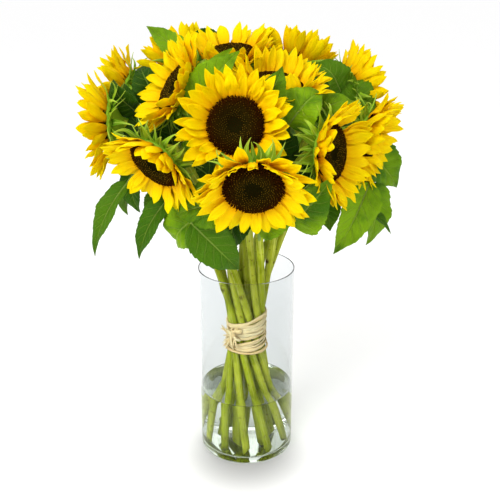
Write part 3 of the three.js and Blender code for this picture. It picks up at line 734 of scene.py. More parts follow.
petal_look = Look("ray_petal", living(0.05, 0.12, 0.004, (1.0, 0.5, 0.05)))
along = petal_look.uv()[0]
streaks = petal_look.noise((2.2, 26, 1), detail=4.0)
yellow = petal_look.mix(petal_look.band(along, 0.05, 0.5), ROOT_ORANGE, CLEAR_YELLOW)
yellow = petal_look.mix(petal_look.band(along, 0.4, 0.95), yellow, TIP_YELLOW)
yellow = petal_look.mix(petal_look.math("MULTIPLY", petal_look.value("tint"), 0.3), yellow, WARMER)
petal_look.colour(petal_look.mix(petal_look.band(streaks, 0.5, 0.66, 0.5), yellow, STREAK))
petal_look.rough(streaks, 0.25, 0.42)
petal_look.bump(streaks, 0.001, 0.7)
for head in HEADS:
    build("ray_petals_" + head.name, petals_of(head), petal_look, "petal", "petals_" + head.name)
print("petals of", len(HEADS), "heads")

# %% [markdown]
# ## Seed discs
# The dark middle is hundreds of tiny tube flowers in spirals, each turned by the golden angle
# from the last. They could be a bump map, but seen from the side a disc has a ragged rim and a
# velvety top, so each floret is a small open peg of its own on a turned dome: fresh and green in
# the sunken middle, open and brown with tan tips outside, and a fringe of pointed scales round it.

# %% Turned shapes
def spun(profile, steps):
    """Spins an outline of (radius, height) pairs, in millimetres, once round the Z axis."""
    bpy.ops.object.select_all(action="DESELECT")
    mesh = bpy.data.meshes.new("outline")
    points = [(radius * MM, 0, height * MM) for radius, height in profile]
    mesh.from_pydata(points, [(k, k + 1) for k in range(len(points) - 1)], [])
    made = bpy.data.objects.new("outline", mesh)
    bpy.context.scene.collection.objects.link(made)
    edit(made)
    pick(made)
    bpy.ops.mesh.spin(steps=steps, angle=2 * pi, center=(0, 0, 0), axis=(0, 0, 1))
    bpy.ops.mesh.select_all(action="SELECT")
    bpy.ops.mesh.remove_doubles(threshold=0.01 * MM)
    bpy.ops.mesh.normals_make_consistent(inside=False)
    done()
    return made


DISC_LINE = ([0, 4, 9.5, 16, 21, 25, 28, 30], [3.4, 3.6, 5.3, 7.2, 7.9, 7.2, 5.2, 2.6])
DOME_SUNK = 1.6
DISC_RADIUS = 30
dome_profile = [(radius, height - DOME_SUNK) for radius, height in zip(*DISC_LINE)]
DOME = read_part(spun([*dome_profile, (29.4, 0.1), (0, 0.1)], 40))
print("dome", len(DOME.faces), "faces")

# %% One floret and one scale
def cone_by_hand(corners, foot, top, height):
    bpy.ops.object.select_all(action="DESELECT")
    bpy.ops.mesh.primitive_cone_add(vertices=corners, radius1=foot, radius2=top, depth=1,
                                    location=(0, 0, height))
    return bpy.context.object


def floret_by_hand():
    """A five-sided peg, one unit wide and high, with a cup sunk in its top."""
    made = cone_by_hand(5, 0.36, 0.5, 0.5)
    bpy.ops.object.transform_apply(location=True)
    edit(made, "FACE")
    bpy.context.view_layer.update()
    for face in made.data.polygons:
        face.select = face.normal.z > 0.9
    bpy.ops.object.mode_set(mode="EDIT")
    bpy.ops.mesh.inset(thickness=0.2)
    bpy.ops.transform.translate(value=(0, 0, -0.35))
    done()
    return read_part(made)


def scale_by_hand():
    """A pointed chaff scale, one unit long along X, with its point ahead."""
    made = cone_by_hand(4, 0.5, 0.02, 0)
    edit(made)
    pick(made)
    bpy.ops.transform.rotate(value=pi / 2, orient_axis="Y", center_override=(0, 0, 0))
    resize((1, 1, 0.35))
    done()
    scale = read_part(made)
    if scale.points[np.abs(scale.points[:, 1]).argmax(), 0] > 0:
        scale.points[:, :2] *= -1
    scale.points += (0.5, 0, 0)
    return scale


FLORET, SCALE = floret_by_hand(), scale_by_hand()
print("floret", len(FLORET.faces), "faces, scale", len(SCALE.faces), "faces")

# %% A disc full of florets
FLORETS = 540
GOLDEN = pi * (3 - sqrt(5))
GREEN_PART = 0.36
CLOSED, OPEN = (1.7, 1.9), (2.1, 2.5)  # width and height of the least floret, in millimetres
SPECK, SPECK_SIZE = 2.0, (0.62, 1.7)
SCALES = 64
SCALE_ROOT, SCALE_WIDTH, SCALE_TINT = 28.4, 2.2, 1.1


def disc_surface(radius):
    """Height and slope of the disc at a radius, in millimetres."""
    height = smooth_between(np.array([radius, radius + 0.1]), *DISC_LINE)
    return float(height[0]), atan2(height[1] - height[0], 0.1)


def peg(head, radius, angle, height, lean, wide, tall, turn):
    """Stands a peg on the disc: lean is its tilt outwards from the axis, in radians."""
    def place(points):
        x, y, z = points[:, 0] * wide * MM, points[:, 1] * wide * MM, points[:, 2] * tall * MM
        x, y = x * cos(turn) - y * sin(turn), x * sin(turn) + y * cos(turn)
        out = radius * MM + x * cos(lean) + z * sin(lean)
        level = height * MM - x * sin(lean) + z * cos(lean)
        return head.swung(out, y, level, angle)
    return place


def florets_of(head):
    parts = [DOME.bent(head.world, tint=0.75)]
    for k in range(FLORETS):
        seed = 7000 * head.number + k
        share = sqrt((k + 0.5) / FLORETS)
        radius, angle = share * (DISC_RADIUS - 0.6), k * GOLDEN
        height, slope = disc_surface(radius)
        lean = -slope * 0.8 + spread(seed, 0.25)
        wide, tall = CLOSED if share < GREEN_PART else OPEN
        place = peg(head, radius, angle, height - DOME_SUNK, lean, vary(seed + 0.1, wide, 0.5),
                    vary(seed + 0.2, tall, 1.0), 6 * chance(seed + 0.3))
        parts.append(FLORET.bent(place, share + spread(seed + 0.4, 0.12), FLORET.points[:, 2]))
        if share > GREEN_PART * 0.8 and chance(seed + 0.5) < 1.15 - 0.9 * share:
            place = peg(head, radius, angle, height - 0.2, lean, *SPECK_SIZE, 6 * chance(seed + 0.6))
            parts.append(FLORET.bent(place, SPECK + chance(seed + 0.7), FLORET.points[:, 2]))
    for k in range(SCALES):
        seed = 9000 * head.number + k
        angle = 2 * pi * (k + 0.6 * chance(seed)) / SCALES
        pitch = vary(seed + 0.1, 15, 45)
        size = np.array([vary(seed + 0.2, 4.2, 2.4), SCALE_WIDTH, SCALE_WIDTH]) * MM
        place = sweep(head, angle, (SCALE_ROOT, vary(seed + 0.3, 1.2, 1.6)), [pitch, pitch], [0, 9])
        parts.append(SCALE.bent(lambda points: place(points * size), vary(seed + 0.4, SCALE_TINT, 0.1),
                                SCALE.points[:, 0]))
    return parts


print("florets in a head:", FLORETS)

# %% Disc finish
UNRIPE, DUN, OPENED, FRINGE = (rgb(0.014, 0.024, 0.004), rgb(0.045, 0.036, 0.004),
                               rgb(0.05, 0.0095, 0.0006), rgb(0.1, 0.017, 0.001))
FLORET_TOP, SOOT, TAN = rgb(0.09, 0.034, 0.004), rgb(0.012, 0.006, 0.001), rgb(0.34, 0.2, 0.015)

disc_look = Look("seed_disc", {"Roughness": 0.9, "Specular IOR Level": 0.0})
zone, level = disc_look.value("tint"), disc_look.value("shade")
mottle = disc_look.noise(900.0)
brown = disc_look.mix(disc_look.band(zone, 0.3, 0.5), UNRIPE, DUN)
brown = disc_look.mix(disc_look.band(zone, 0.5, 0.95), brown, OPENED)
brown = disc_look.mix(disc_look.band(zone, 0.98, 1.15), brown, FRINGE)
brown = disc_look.mix(disc_look.band(level, 0.5, 1.0, 0.3), brown, FLORET_TOP)
brown = disc_look.mix(disc_look.math("MULTIPLY", mottle, 0.35), brown, SOOT)
disc_look.colour(disc_look.mix(disc_look.band(zone, 1.6, 2.0), brown, TAN))
disc_look.bump(mottle, 0.0004, 0.5)
for head in HEADS:
    build("florets_" + head.name, florets_of(head), disc_look, "seed_disc", "disc_" + head.name)
print("discs of", len(HEADS), "heads")

# %% [markdown]
# ## Stems, cups and bracts
# The stems are straight green rods, finely ribbed, with brown scars where leaves were stripped
# and a slanting pale cut at the foot. A bevelled curve would give a plain pipe; a swept ring of
# points can be ribbed, swollen at a scar and flared into the neck. Behind each disc is a green
# cup, turned like a bowl. Round it stand the long pointed bracts of the CAD model, curlier ones
# between them, and a row at the rim whose tips twist among the petals.

# %% Stem rods
STEM_SIDES = 14
STEM_FULL, STEM_TAPER = 4.8, 0.08
SCARS, SCAR_HALF, SCAR_RISE = [0.3, 0.47, 0.62, 0.8], 2.2, 1.1
NECK_FLARE, NECK_FADE = 4.2, 7.0
RIB_DEPTH, WOBBLE = 0.035, 0.03
CUT_SLANT = 0.9


def stem_of(head):
    path = LINES[head.name].path()
    length = travelled(path)
    share = length / length[-1]
    from_end = (length[-1] - length) / MM
    radius = STEM_FULL * (1.0 - STEM_TAPER * share) + NECK_FLARE * np.exp(-from_end / NECK_FADE)
    scar = np.zeros(len(path))
    for k, where in enumerate(SCARS):
        here = where + spread(60 * head.number + k, 0.12)
        scar += np.exp(-((share - here) * length[-1] / MM / SCAR_HALF) ** 2)
    angles = 2 * pi * np.arange(STEM_SIDES) / STEM_SIDES
    ribs = 1 - RIB_DEPTH * (np.arange(STEM_SIDES) % 2)
    wobble = WOBBLE * np.sin(3 * angles[None, :] + 9 * share[:, None] + head.number)
    side = np.clip(np.cos(angles[None, :] - 5 * chance(head.number)), 0, 1)
    radii = radius[:, None] * (ribs + wobble) + SCAR_RISE * scar[:, None] * side
    rod = tube(path, radii * MM, STEM_SIDES, chance(3.1 * head.number), (scar[:, None] * side).ravel())
    first = rod.points[:STEM_SIDES]
    middle, along = path[0], unit(path[1] - path[0])
    slant = unit(np.cross(along, (cos(head.number), sin(head.number), 0.1)))
    first += np.outer((first - middle) @ slant + STEM_RADIUS * MM, along * CUT_SLANT)
    return rod


print("stem rods of", STEM_SIDES, "sides")

# %% Cup and bract
CUP_LINE = [(0, -19.5), (7.5, -19.2), (9.5, -17.4), (14, -14.2), (21, -11), (26, -6.6), (28.4, -3.2),
            (27.4, -1.4), (23.6, -1.1), (0, -1.0)]
CUP = read_part(spun(CUP_LINE, 32))
BRACT_LENGTH = 32 * MM
BRACT_SIZE = (BRACT_LENGTH, 9.5 * MM, 0.5 * MM)
BRACT_OUTLINE = ([0, 0.15, 0.35, 0.6, 0.8, 1], [0.9, 1, 0.7, 0.38, 0.2, 0.02])
BRACT = tongue_by_hand(BRACT_SIZE, BRACT_OUTLINE, rows=12, columns=4, groove=0.3 * MM, cup=1.8 * MM)
CAD_BRACTS = 8
CAD_BRACT_ROOT = (22, -6)
BRACT_BENDS = [0, -15, 15, -30, 30, -45, -60, 45]
BRACT_TIP_BEND = -14
print("cup", len(CUP.faces), "faces, bract", len(BRACT.faces), "faces")


def bract_pitches(head):
    """Angle, pitch and length of each bract that the CAD model has, found by its tip."""
    points = node_points("stem_" + head.name)
    found = []
    for k in range(CAD_BRACTS):
        seed = 50 * head.number + k
        angle = 2 * pi * (k + 0.6 * chance(seed)) / CAD_BRACTS
        length = BRACT_LENGTH / MM * vary(seed + 0.7, 0.8, 0.4)
        misses = []
        for bend in BRACT_BENDS:
            pitch = vary(seed + 0.5, -18, -26) + bend
            rise = radians(pitch + BRACT_TIP_BEND)
            radius = CAD_BRACT_ROOT[0] + length * cos(rise)
            height = CAD_BRACT_ROOT[1] + length * sin(rise)
            tip = head.round(radius * MM, angle, height * MM)
            misses.append((np.linalg.norm(points - tip, axis=1).min(), pitch))
        if min(misses)[0] < 0.5 * MM:
            found.append((angle, min(misses)[1], length))
    return found


# %% All bracts of one head
BRACT_ROOT, BRACT_KNOTS = (20, -7), [0, 8, 16, 34]
BETWEEN_GAP = 0.5  # radians that one bract between two others fills
BETWEEN_RISE, BETWEEN_LENGTH, BETWEEN_WIDE = 12, 0.95, 1.1
CURL, MORE_CURL = 90, 130
RIM_BRACTS = 15
RIM_ROOT, RIM_KNOTS = (25, -5.5), [0, 7, 16, 34]
BRACT_TWISTS, BRACT_HOOKS, RIM_HOOKS, RIM_CURLS = 160, 26, 32, 240


def bracts_between(here, ahead):
    """A bract of the CAD model and curlier ones up to the next: angle, pitch, length, curl, width."""
    angle, pitch, length = here
    next_angle, next_pitch, next_length = ahead
    gap = (next_angle - angle) % (2 * pi)
    rows = [(angle, pitch, length, 0.0, 1.0)]
    extra = max(1, round(gap / BETWEEN_GAP))
    for j in range(1, extra + 1):
        share = j / (extra + 1)
        rows.append((angle + gap * share, pitch + (next_pitch - pitch) * share + BETWEEN_RISE,
                     BETWEEN_LENGTH * (length + (next_length - length) * share), 1.0, BETWEEN_WIDE))
    return rows


def cup_of(head):
    parts = [CUP.bent(head.world, tint=0.5)]
    known = bract_pitches(head)
    for k, here in enumerate(known):
        rows = bracts_between(here, known[(k + 1) % len(known)])
        for j, (angle, rise, length, curly, wide) in enumerate(rows):
            seed = 400 * head.number + 10 * k + j
            tail = rise - 14 + spread(seed, CURL + MORE_CURL * curly)
            place = sweep(head, angle, BRACT_ROOT, [rise + 24, rise + 6, rise - 10, tail], BRACT_KNOTS,
                          size=length * MM / BRACT_LENGTH * vary(seed + 0.2, 0.9, 0.15), wide=wide,
                          twist=spread(seed + 0.4, BRACT_TWISTS), hook=spread(seed + 0.6, BRACT_HOOKS))
            parts.append(BRACT.bent(place, tint=chance(seed + 0.8)))
    for k in range(RIM_BRACTS):
        seed = 5000 + 400 * head.number + k
        angle = 2 * pi * (k + 0.5 * chance(seed)) / RIM_BRACTS
        rise = spread(seed + 0.1, 26)
        tail = rise + spread(seed + 0.3, RIM_CURLS)
        place = sweep(head, angle, RIM_ROOT, [rise - 25, rise, rise, tail], RIM_KNOTS,
                      size=vary(seed + 0.2, 0.72, 0.36), wide=1.3, flutter=0.8,
                      twist=spread(seed + 0.4, BRACT_TWISTS), hook=spread(seed + 0.6, RIM_HOOKS))
        parts.append(BRACT.bent(place, tint=chance(seed + 0.8)))
    return parts


print("bracts of head 01:", len(cup_of(HEADS[0])) - 1)

# %% Stem finish
OLIVE, YELLOWISH, SHADED, RIB_LIGHT = (rgb(0.42, 0.5, 0.008), rgb(0.55, 0.6, 0.05),
                                       rgb(0.28, 0.34, 0.002), rgb(0.64, 0.67, 0.16))
FRECKLE, SCAR_BROWN = rgb(0.16, 0.13, 0.008), rgb(0.09, 0.05, 0.012)

stem_look = Look("stem_green", living(0.15, 0.1, 0.003, (0.7, 1.0, 0.1)))
ribbing = stem_look.noise((16, 18, 1))
scar = stem_look.value("shade")
green = stem_look.mix(stem_look.value("tint"), OLIVE, YELLOWISH)
green = stem_look.mix(stem_look.band(stem_look.noise(38.0), 0.42, 0.68), green, SHADED)
green = stem_look.mix(stem_look.band(ribbing, 0.5, 0.62, 0.55), green, RIB_LIGHT)
green = stem_look.mix(stem_look.band(stem_look.noise(210.0, detail=1.0), 0.66, 0.72, 0.6), green, FRECKLE)
scar_edge = stem_look.math("MULTIPLY", stem_look.band(scar, 0.25, 0.85), stem_look.band(ribbing, 0.35, 0.6))
stem_look.colour(stem_look.mix(scar_edge, green, SCAR_BROWN))
stem_look.rough(ribbing, 0.2, 0.38)
stem_look.bump(ribbing, 0.0012, 0.7)
print("stem finish ready")

# %% Bract finish
DARK_BRACT, LIGHT_BRACT = rgb(0.1, 0.24, 0.002), rgb(0.34, 0.56, 0.02)
RIB_GREEN, TIP_GREEN, FUR = rgb(0.48, 0.66, 0.12), rgb(0.46, 0.6, 0.07), rgb(0.3, 0.46, 0.06)

bract_look = Look("bract_green", {"Roughness": 0.55, **living(0.12, 0.1, 0.003, (0.7, 1.0, 0.1))})
fur = bract_look.noise(700.0)
along, across = bract_look.uv()
from_rib = bract_look.math("ABSOLUTE", bract_look.math("SUBTRACT", across, 0.5))
green = bract_look.mix(bract_look.value("tint"), DARK_BRACT, LIGHT_BRACT)
green = bract_look.mix(bract_look.band(from_rib, 0.1, 0.0), green, RIB_GREEN)
green = bract_look.mix(bract_look.band(along, 0.45, 1.0), green, TIP_GREEN)
bract_look.colour(bract_look.mix(bract_look.math("MULTIPLY", fur, 0.4), green, FUR))
bract_look.bump(fur, 0.0006, 0.6)
for head in HEADS:
    build("stem_rod_" + head.name, [stem_of(head)], stem_look, "green", "stem_" + head.name)
    build("cup_and_bracts_" + head.name, cup_of(head), bract_look, "green", "stem_" + head.name)
print("stems, cups and bracts of", len(HEADS), "flowers")

# %% [markdown]
# ## Leaves
# A sunflower leaf is a broad heart with a toothed edge, folded a little along its midrib, puffed
# between its side veins and waved at its margin, and its tip hangs over. A flat card with a
# picture of a leaf would look right only from afar. Here one fine grid is made solid once, and a
# formula lays it into every leaf: outline, teeth, fold, wave, veins and the bend of the tip all
# follow the two directions of the blade. A few leaves are moved by a centimetre or so from the
# CAD model's places, to lie as in the photograph.

# %% Where the leaves are
# Stem, height of the stalk on it, both ends of the blade, its width and where its face looks.
LEAVES = [
    (5, 440, (-50, 12, 485), (-119, 30, 537), 32, (-3, -6, 7)),
    (14, 420, (-30, 75, 512), (-64, 60, 520), 26, (-2, -8, 5)),
    (3, 400, (-55, -48, 455), (-6, -65, 514), 42, (-2, -9, 4)),
    (3, 415, (-45, -22, 485), (-15, -25, 517), 16, (5, -5, 7)),
    (6, 400, (8, -72, 464), (28, -78, 505), 28, (3, -9, 3)),
    (6, 385, (46, -70, 440), (80, -64, 480), 52, (0, -7, 7)),
    (8, 370, (70, -35, 440), (117, -45, 468), 32, (1, -7, 7)),
    (8, 385, (78, -5, 452), (86, -5, 485), 32, (0, -9, 4)),
    (10, 395, (112, 30, 462), (84, 20, 500), 40, (0, -7, 7)),
    (10, 415, (130, 38, 425), (135, 45, 487), 46, (0, -9, 3)),
    (8, 390, (150, 34, 388), (200, 22, 339), 60, (4, -8, 4)),
    (8, 350, (132, -15, 372), (108, -30, 275), 44, (2, -9, 2)),
    (10, 380, (150, 5, 350), (148, 0, 267), 42, (5, -8, 1)),
    (8, 340, (133, 10, 328), (180, 0, 303), 20, (2, -3, 9)),
    (10, 345, (98, 30, 335), (105, 20, 288), 34, (0, -10, 0)),
    (7, 350, (52, -100, 346), (92, -128, 390), 48, (3, -8, 5)),
    (1, 300, (18, -98, 322), (78, -112, 360), 38, (2, -8, 5)),
    (1, 315, (-12, -96, 350), (-81, -92, 337), 58, (-2, -8, 5)),
    (4, 330, (-60, -100, 345), (-3, -98, 283), 46, (-1, -8, 4)),
    (4, 315, (-46, -60, 340), (-94, -62, 300), 60, (-3, -8, 5)),
    (12, 385, (-138, -30, 365), (-184, -40, 277), 29, (-6, -7, 2)),
    (12, 350, (-90, -40, 350), (-131, -45, 275), 30, (-5, -8, 3)),
    (11, 380, (-138, 10, 372), (-134, 10, 312), 28, (-4, -9, 0)),
    (11, 345, (-100, -10, 348), (-122, -10, 318), 26, (-2, -10, 0)),
    (12, 400, (-129, 10, 440), (-158, 0, 476), 34, (-4, -9, 0)),
    (11, 410, (-120, 12, 415), (-140, 0, 455), 24, (0, -10, 0)),
    (14, 360, (-10, 112, 372), (-30, 195, 350), 64, (0, 6, 8)),
    (15, 330, (90, 95, 345), (150, 145, 300), 64, (4, 6, 7)),
    (16, 330, (-75, 95, 345), (-130, 150, 305), 64, (-4, 6, 7)),
    (9, 380, (45, 112, 400), (30, 192, 400), 56, (0, 4, 9)),
    (13, 390, (-100, 100, 405), (-150, 150, 390), 56, (-4, 4, 8)),
    (15, 300, (30, 95, 322), (20, 160, 275), 60, (0, 8, 6)),
    (11, 350, (-120, 62, 352), (-175, 92, 300), 56, (-7, 3, 6)),
]
NUDGES = {  # how far the base and the tip of a leaf lie from the CAD model's, in millimetres
    2: ((-10, -9, 4), (-10, -9, 4)),
    4: ((-14, -8, -2), (-14, -8, -2)),
    11: ((10, 0, 6), (12, 0, 5)),
    15: ((-2, -2, 6), (-6, 4, 32)),
    16: ((4, -2, 10), (4, 6, 14)),
    17: ((0, 0, 11), (2, 0, 11)),
    18: ((3, -8, 12), (5, -10, 13)),
}
LEAF_SWINGS = [0, 12, -12, 24, -24, 38, -38]
LEAF_LIFTS = [0, 14, -14, 28, -28, 45]
POINTED = {0, 2, 3, 4, *range(10, 19), *range(20, 24)}  # leaves whose tips are seen
POINTED_BOW, ROUND_BOW = (0, 25), (45, 60)  # least bend of the tip and its spread, in degrees
SHADE_PAINTED_LEAVES = {1, 7, 24, 25}  # leaves in the shade of the heads, whose green gets a painted shade
print("leaves at the CAD model's places:", len(LEAVES))

# %% The form of a leaf
BLADE = ([0, 0.05, 0.12, 0.24, 0.4, 0.56, 0.72, 0.87, 1],
         [0.06, 0.4, 0.74, 0.98, 1, 0.85, 0.57, 0.25, 0.01])
LEAST_WIDE, TIP_SHORT = 0.004, 0.99
TEETH, TOOTH, TOOTHED_FROM, TOOTHED_RIM = 12, 0.035, 0.68, 0.32
FOLD, FOLD_POWER = 14, 1.3
WAVE, RIPPLE, WAVY_WIDTH = 3.4, 1.3, 60
SIDE_VEINS, VEIN_RISE, PUFF = 7, 0.3, 2.4
MIDRIB_DEEP, MIDRIB_HALF = 0.8, 2.0
LOBES = 0.13
ARCH, SNAKE = 0.09, 3
BOW_START = 0.4
STALK_STEPS, RIB_STEPS, STALK_SAG = 12, 22, 5


class Leaf:
    """The root of a stalk on a stem, the blade's base and its three directions."""

    def grow(self, stem, height, base, along, length, face):
        self.stem = stem
        self.root = LINES[stem].at_height(height)
        self.base, self.along, self.length = base, along, length
        face = np.array(face, float)
        self.face = unit(face - along * face.dot(along))
        self.side = np.cross(self.face, along)

    def blade(self, points):
        """Lays points of the flat grid (0 to 1 along, -1 to 1 across) into this leaf, in metres."""
        u, v, z = points.T
        out = np.abs(v)
        wide = np.maximum(smooth_between(u, *BLADE), LEAST_WIDE)
        rim = np.clip((out - TOOTHED_FROM) / TOOTHED_RIM, 0, 1) ** 1.5
        tooth = (u * TEETH + chance(self.number) + 0.5 * (v > 0)) % 1 - 0.5
        half = wide * self.width / 2 * (1 + TOOTH * rim * tooth * 2)
        seeds = np.where(v > 0, chance(self.number), chance(self.number + 0.3))
        wave = wide * self.width / WAVY_WIDTH
        lift = half * tan(radians(FOLD)) * out ** FOLD_POWER
        lift += wave * WAVE * out ** 2 * np.sin(13 * u + 6 * seeds)
        lift += RIPPLE * wave * out ** 3 * np.sin(27 * u + 9 * seeds)
        vein = ((u - VEIN_RISE * out * wide) * SIDE_VEINS) % 1
        lift += PUFF * np.sin(pi * vein) * np.sin(pi * np.clip(out, 0, 1)) * wave
        lift -= MIDRIB_DEEP * np.exp(-(out * half / MIDRIB_HALF) ** 2)
        arch = ARCH * self.length * np.sin(pi * u)
        arch += SNAKE * np.sin(7 * u + 9 * chance(self.number + 0.15)) * u * (1 - u)
        back = LOBES * self.length * wide * out ** 2 * (1 - u) ** 4
        ahead, below, slope = self.bowed((u * self.length * TIP_SHORT - back) / self.length)
        high = arch + lift + z / MM
        return (self.base + np.outer(v * half, self.side)
                + np.outer(ahead * self.length + high * np.sin(slope), self.along)
                + np.outer(high * np.cos(slope) - below * self.length, self.face)) * MM

    def bowed(self, where):
        """How far ahead and below a place of the blade lies, and its slope: the tip bends over."""
        fine = np.linspace(0, 1, 60)
        turn = np.radians(self.bow) * np.clip((fine - BOW_START) / (1 - BOW_START), 0, 1) ** 1.2
        step = np.diff(fine, prepend=0)
        ahead = np.interp(where, fine, np.cumsum(np.cos(turn) * step)) + np.minimum(where, 0)
        return ahead, np.interp(where, fine, np.cumsum(np.sin(turn) * step)), np.interp(where, fine, turn)

    def stalk(self):
        """The stalk from the stem, going on as the midrib under the blade."""
        share = np.linspace(0, 1, STALK_STEPS, endpoint=False)[:, None]
        first = self.root + (self.base - self.root) * share
        first[:, 2] += STALK_SAG * np.sin(pi * share[:, 0])
        rib = np.linspace(0.0, 0.94, RIB_STEPS)
        under = self.blade(np.stack([rib, 0 * rib, 0 * rib - 0.9 * MM], axis=1)) / MM
        path = np.concatenate([first, under]) * MM
        radii = np.concatenate([np.linspace(2.3, 1.7, STALK_STEPS), 1.5 * (1 - rib) ** 0.8 + 0.25]) * MM
        return tube(path, radii, 8, chance(self.number + 0.7), np.full(8 * len(path), 2.0))


print("a stalk has", STALK_STEPS + RIB_STEPS, "rings")

# %% Leaves of the CAD model
class CadLeaf(Leaf):
    """A leaf of the CAD model: its stem's corners tell how far it was swung and lifted there."""

    def __init__(self, number, row):
        stem, height, base, tip, self.width, face = row
        self.number = number
        # Leaves in the shade of the heads get a tint below nought, which paints shade into their green.
        self.tint = -0.6 if number in SHADE_PAINTED_LEAVES else chance(number + 0.45)
        self.bow = vary(number + 0.25, *(POINTED_BOW if number in POINTED else ROUND_BOW))
        stem = f"{stem:02d}"
        self.root = LINES[stem].at_height(height)
        points = node_points("stem_" + stem) / MM
        tried = [(np.linalg.norm(points - self.swung(tip, swing, lift), axis=1).min(), swing, lift)
                 for swing in LEAF_SWINGS for lift in LEAF_LIFTS]
        self.miss, swing, lift = min(tried, key=lambda found: found[0])
        nudge = np.array(NUDGES.get(number, np.zeros((2, 3))), float)
        base = self.swung(base, swing, lift) + nudge[0]
        line = self.swung(tip, swing, lift) + nudge[1] - base
        self.grow(stem, height, base, unit(line), np.linalg.norm(line), face)

    def swung(self, target, swing, lift):
        arm = turned(np.array(target, float) - self.root, (0, 0, 1), swing)
        return turned(arm, unit((arm[1], -arm[0], 0)), lift) + self.root


PLACES = [CadLeaf(number, row) for number, row in enumerate(LEAVES)]
print("leaves", len(PLACES), "worst miss mm", round(max(place.miss for place in PLACES), 2))

# %% Small leaves between the flowers
# Middle of the blade, where it points and where its face looks. Each grows on the nearest stem.
INNER_LEAVES = [
    ((-122, -8, 420), (-3, 1, 8), (-2, -8, 4)),
    ((-92, 14, 425), (-2, 3, 8), (-1, -9, 5)),
    ((-50, -18, 374), (-6, -2, 6), (-1, -8, 6)),
    ((-62, 10, 352), (-8, 0, 4), (0, -8, 6)),
    ((44, 8, 400), (4, 2, 9), (2, -9, 3)),
    ((70, -2, 378), (6, -1, 8), (-2, -8, 5)),
    ((72, -30, 348), (8, -3, 4), (-3, -8, 5)),
    ((28, 26, 410), (1, 2, 9), (0, -9, 4)),
    ((-26, 30, 400), (-2, 2, 9), (1, -9, 4)),
    ((-118, 40, 470), (-4, 1, 8), (-2, -8, 6)),
    ((60, 70, 420), (2, 6, 8), (0, 7, 7)),
    ((-45, 80, 415), (-2, 6, 8), (0, 7, 7)),
    ((118, 62, 405), (6, 4, 8), (5, 5, 7)),
    ((-100, 70, 415), (-6, 4, 8), (-5, 4, 7)),
    ((10, 95, 400), (0, 8, 5), (0, 5, 9)),
    ((-14, -64, 322), (-3, -3, -7), (-1, -9, 4)),
    ((140, 26, 354), (3, 0, -6), (2, -9, 3)),
]
INNER_LENGTH, INNER_WIDTH, INNER_FALL = 58, 42, 34


class InnerLeaf(Leaf):
    """A leaf that only the dressed model has."""

    def __init__(self, number, middle, towards, face):
        self.number = number
        # Inner leaves lie deep among the heads: a tint below nought paints shade into their green.
        self.tint = vary(number + 0.45, -0.6, -0.6)
        self.bow = vary(number + 0.25, *ROUND_BOW)
        self.width = INNER_WIDTH * vary(number + 0.8, 0.85, 0.3)
        middle = np.array(middle, float)
        height = middle[2] - INNER_FALL
        reach = {name: np.linalg.norm(line.at_height(height) - middle)
                 for name, line in LINES.items() if line.bends[3][2] > height}
        along = unit(towards)
        length = INNER_LENGTH * vary(number + 0.6, 0.85, 0.3)
        self.grow(min(reach, key=reach.get), height, middle - along * length / 2, along, length, face)


PLACES += [InnerLeaf(len(LEAVES) + k, *row) for k, row in enumerate(INNER_LEAVES)]
print("leaves with the inner ones", len(PLACES))

# %% One flat blade
def blade_by_hand(rows=78, columns=14, thickness=0.5 * MM):
    """A fine flat grid, 0 to 1 along and -1 to 1 across; shade is 1 on its underside."""
    made = grid(rows, columns)
    pick(made)
    bpy.ops.transform.translate(value=(0.5, 0, 0))
    resize((1, 2, 1))
    done()
    upper = len(made.data.vertices)
    thicken(made, thickness, -1)
    part = read_part(made)
    part.shade = (np.arange(len(part.points)) >= upper).astype(float)
    return part


FLAT_BLADE = blade_by_hand()
print("blade", len(FLAT_BLADE.faces), "faces")

# %% Leaf finish
DARK_LEAF, LIGHT_LEAF, BLOTCH = rgb(0.035, 0.125, 0.0), rgb(0.27, 0.46, 0.002), rgb(0.06, 0.17, 0.001)
PAINTED_SHADE_GREEN, VEIN, STALK = rgb(0.018, 0.06, 0.0), rgb(0.34, 0.5, 0.07), rgb(0.26, 0.38, 0.07)
UNDERSIDE, UNDER_VEIN = rgb(0.14, 0.26, 0.03), rgb(0.34, 0.48, 0.12)

leaf_look = Look("leaf_green", living(0.15, 0.1, 0.003, (0.6, 1.0, 0.08)))
along, across = leaf_look.uv()
kind, tint = leaf_look.value("shade"), leaf_look.value("tint")
side = leaf_look.math("ABSOLUTE", leaf_look.math("MULTIPLY_ADD", across, 2.0, -1.0))
slant = leaf_look.math("SUBTRACT", along, leaf_look.math("MULTIPLY", side, 0.22))
slant = leaf_look.math("ADD", slant, leaf_look.math("MULTIPLY", leaf_look.noise((6, 6, 1)), 0.03))
cell = leaf_look.math("PINGPONG", leaf_look.math("MULTIPLY", slant, float(SIDE_VEINS)), 0.5)
side_vein = leaf_look.math("MULTIPLY", leaf_look.band(cell, 0.075, 0.02), leaf_look.band(side, 1.0, 0.5))
side_vein = leaf_look.math("MULTIPLY", side_vein, 0.75)
main_veins = leaf_look.math("MAXIMUM", side_vein, leaf_look.band(side, 0.07, 0.02))
cells = leaf_look.add("TexVoronoi", {"Vector": leaf_look.place("UV", (34, 17, 1)), "Scale": 1.0},
                 feature="DISTANCE_TO_EDGE")
net = leaf_look.band(cells.outputs["Distance"], 0.1, 0.0, 0.22)
veins = leaf_look.add("Clamp", {0: leaf_look.math("ADD", net, main_veins)}).outputs[0]
blotch = leaf_look.noise(26.0)
green = leaf_look.mix(tint, DARK_LEAF, LIGHT_LEAF)
green = leaf_look.mix(leaf_look.band(blotch, 0.45, 0.7), green, BLOTCH)
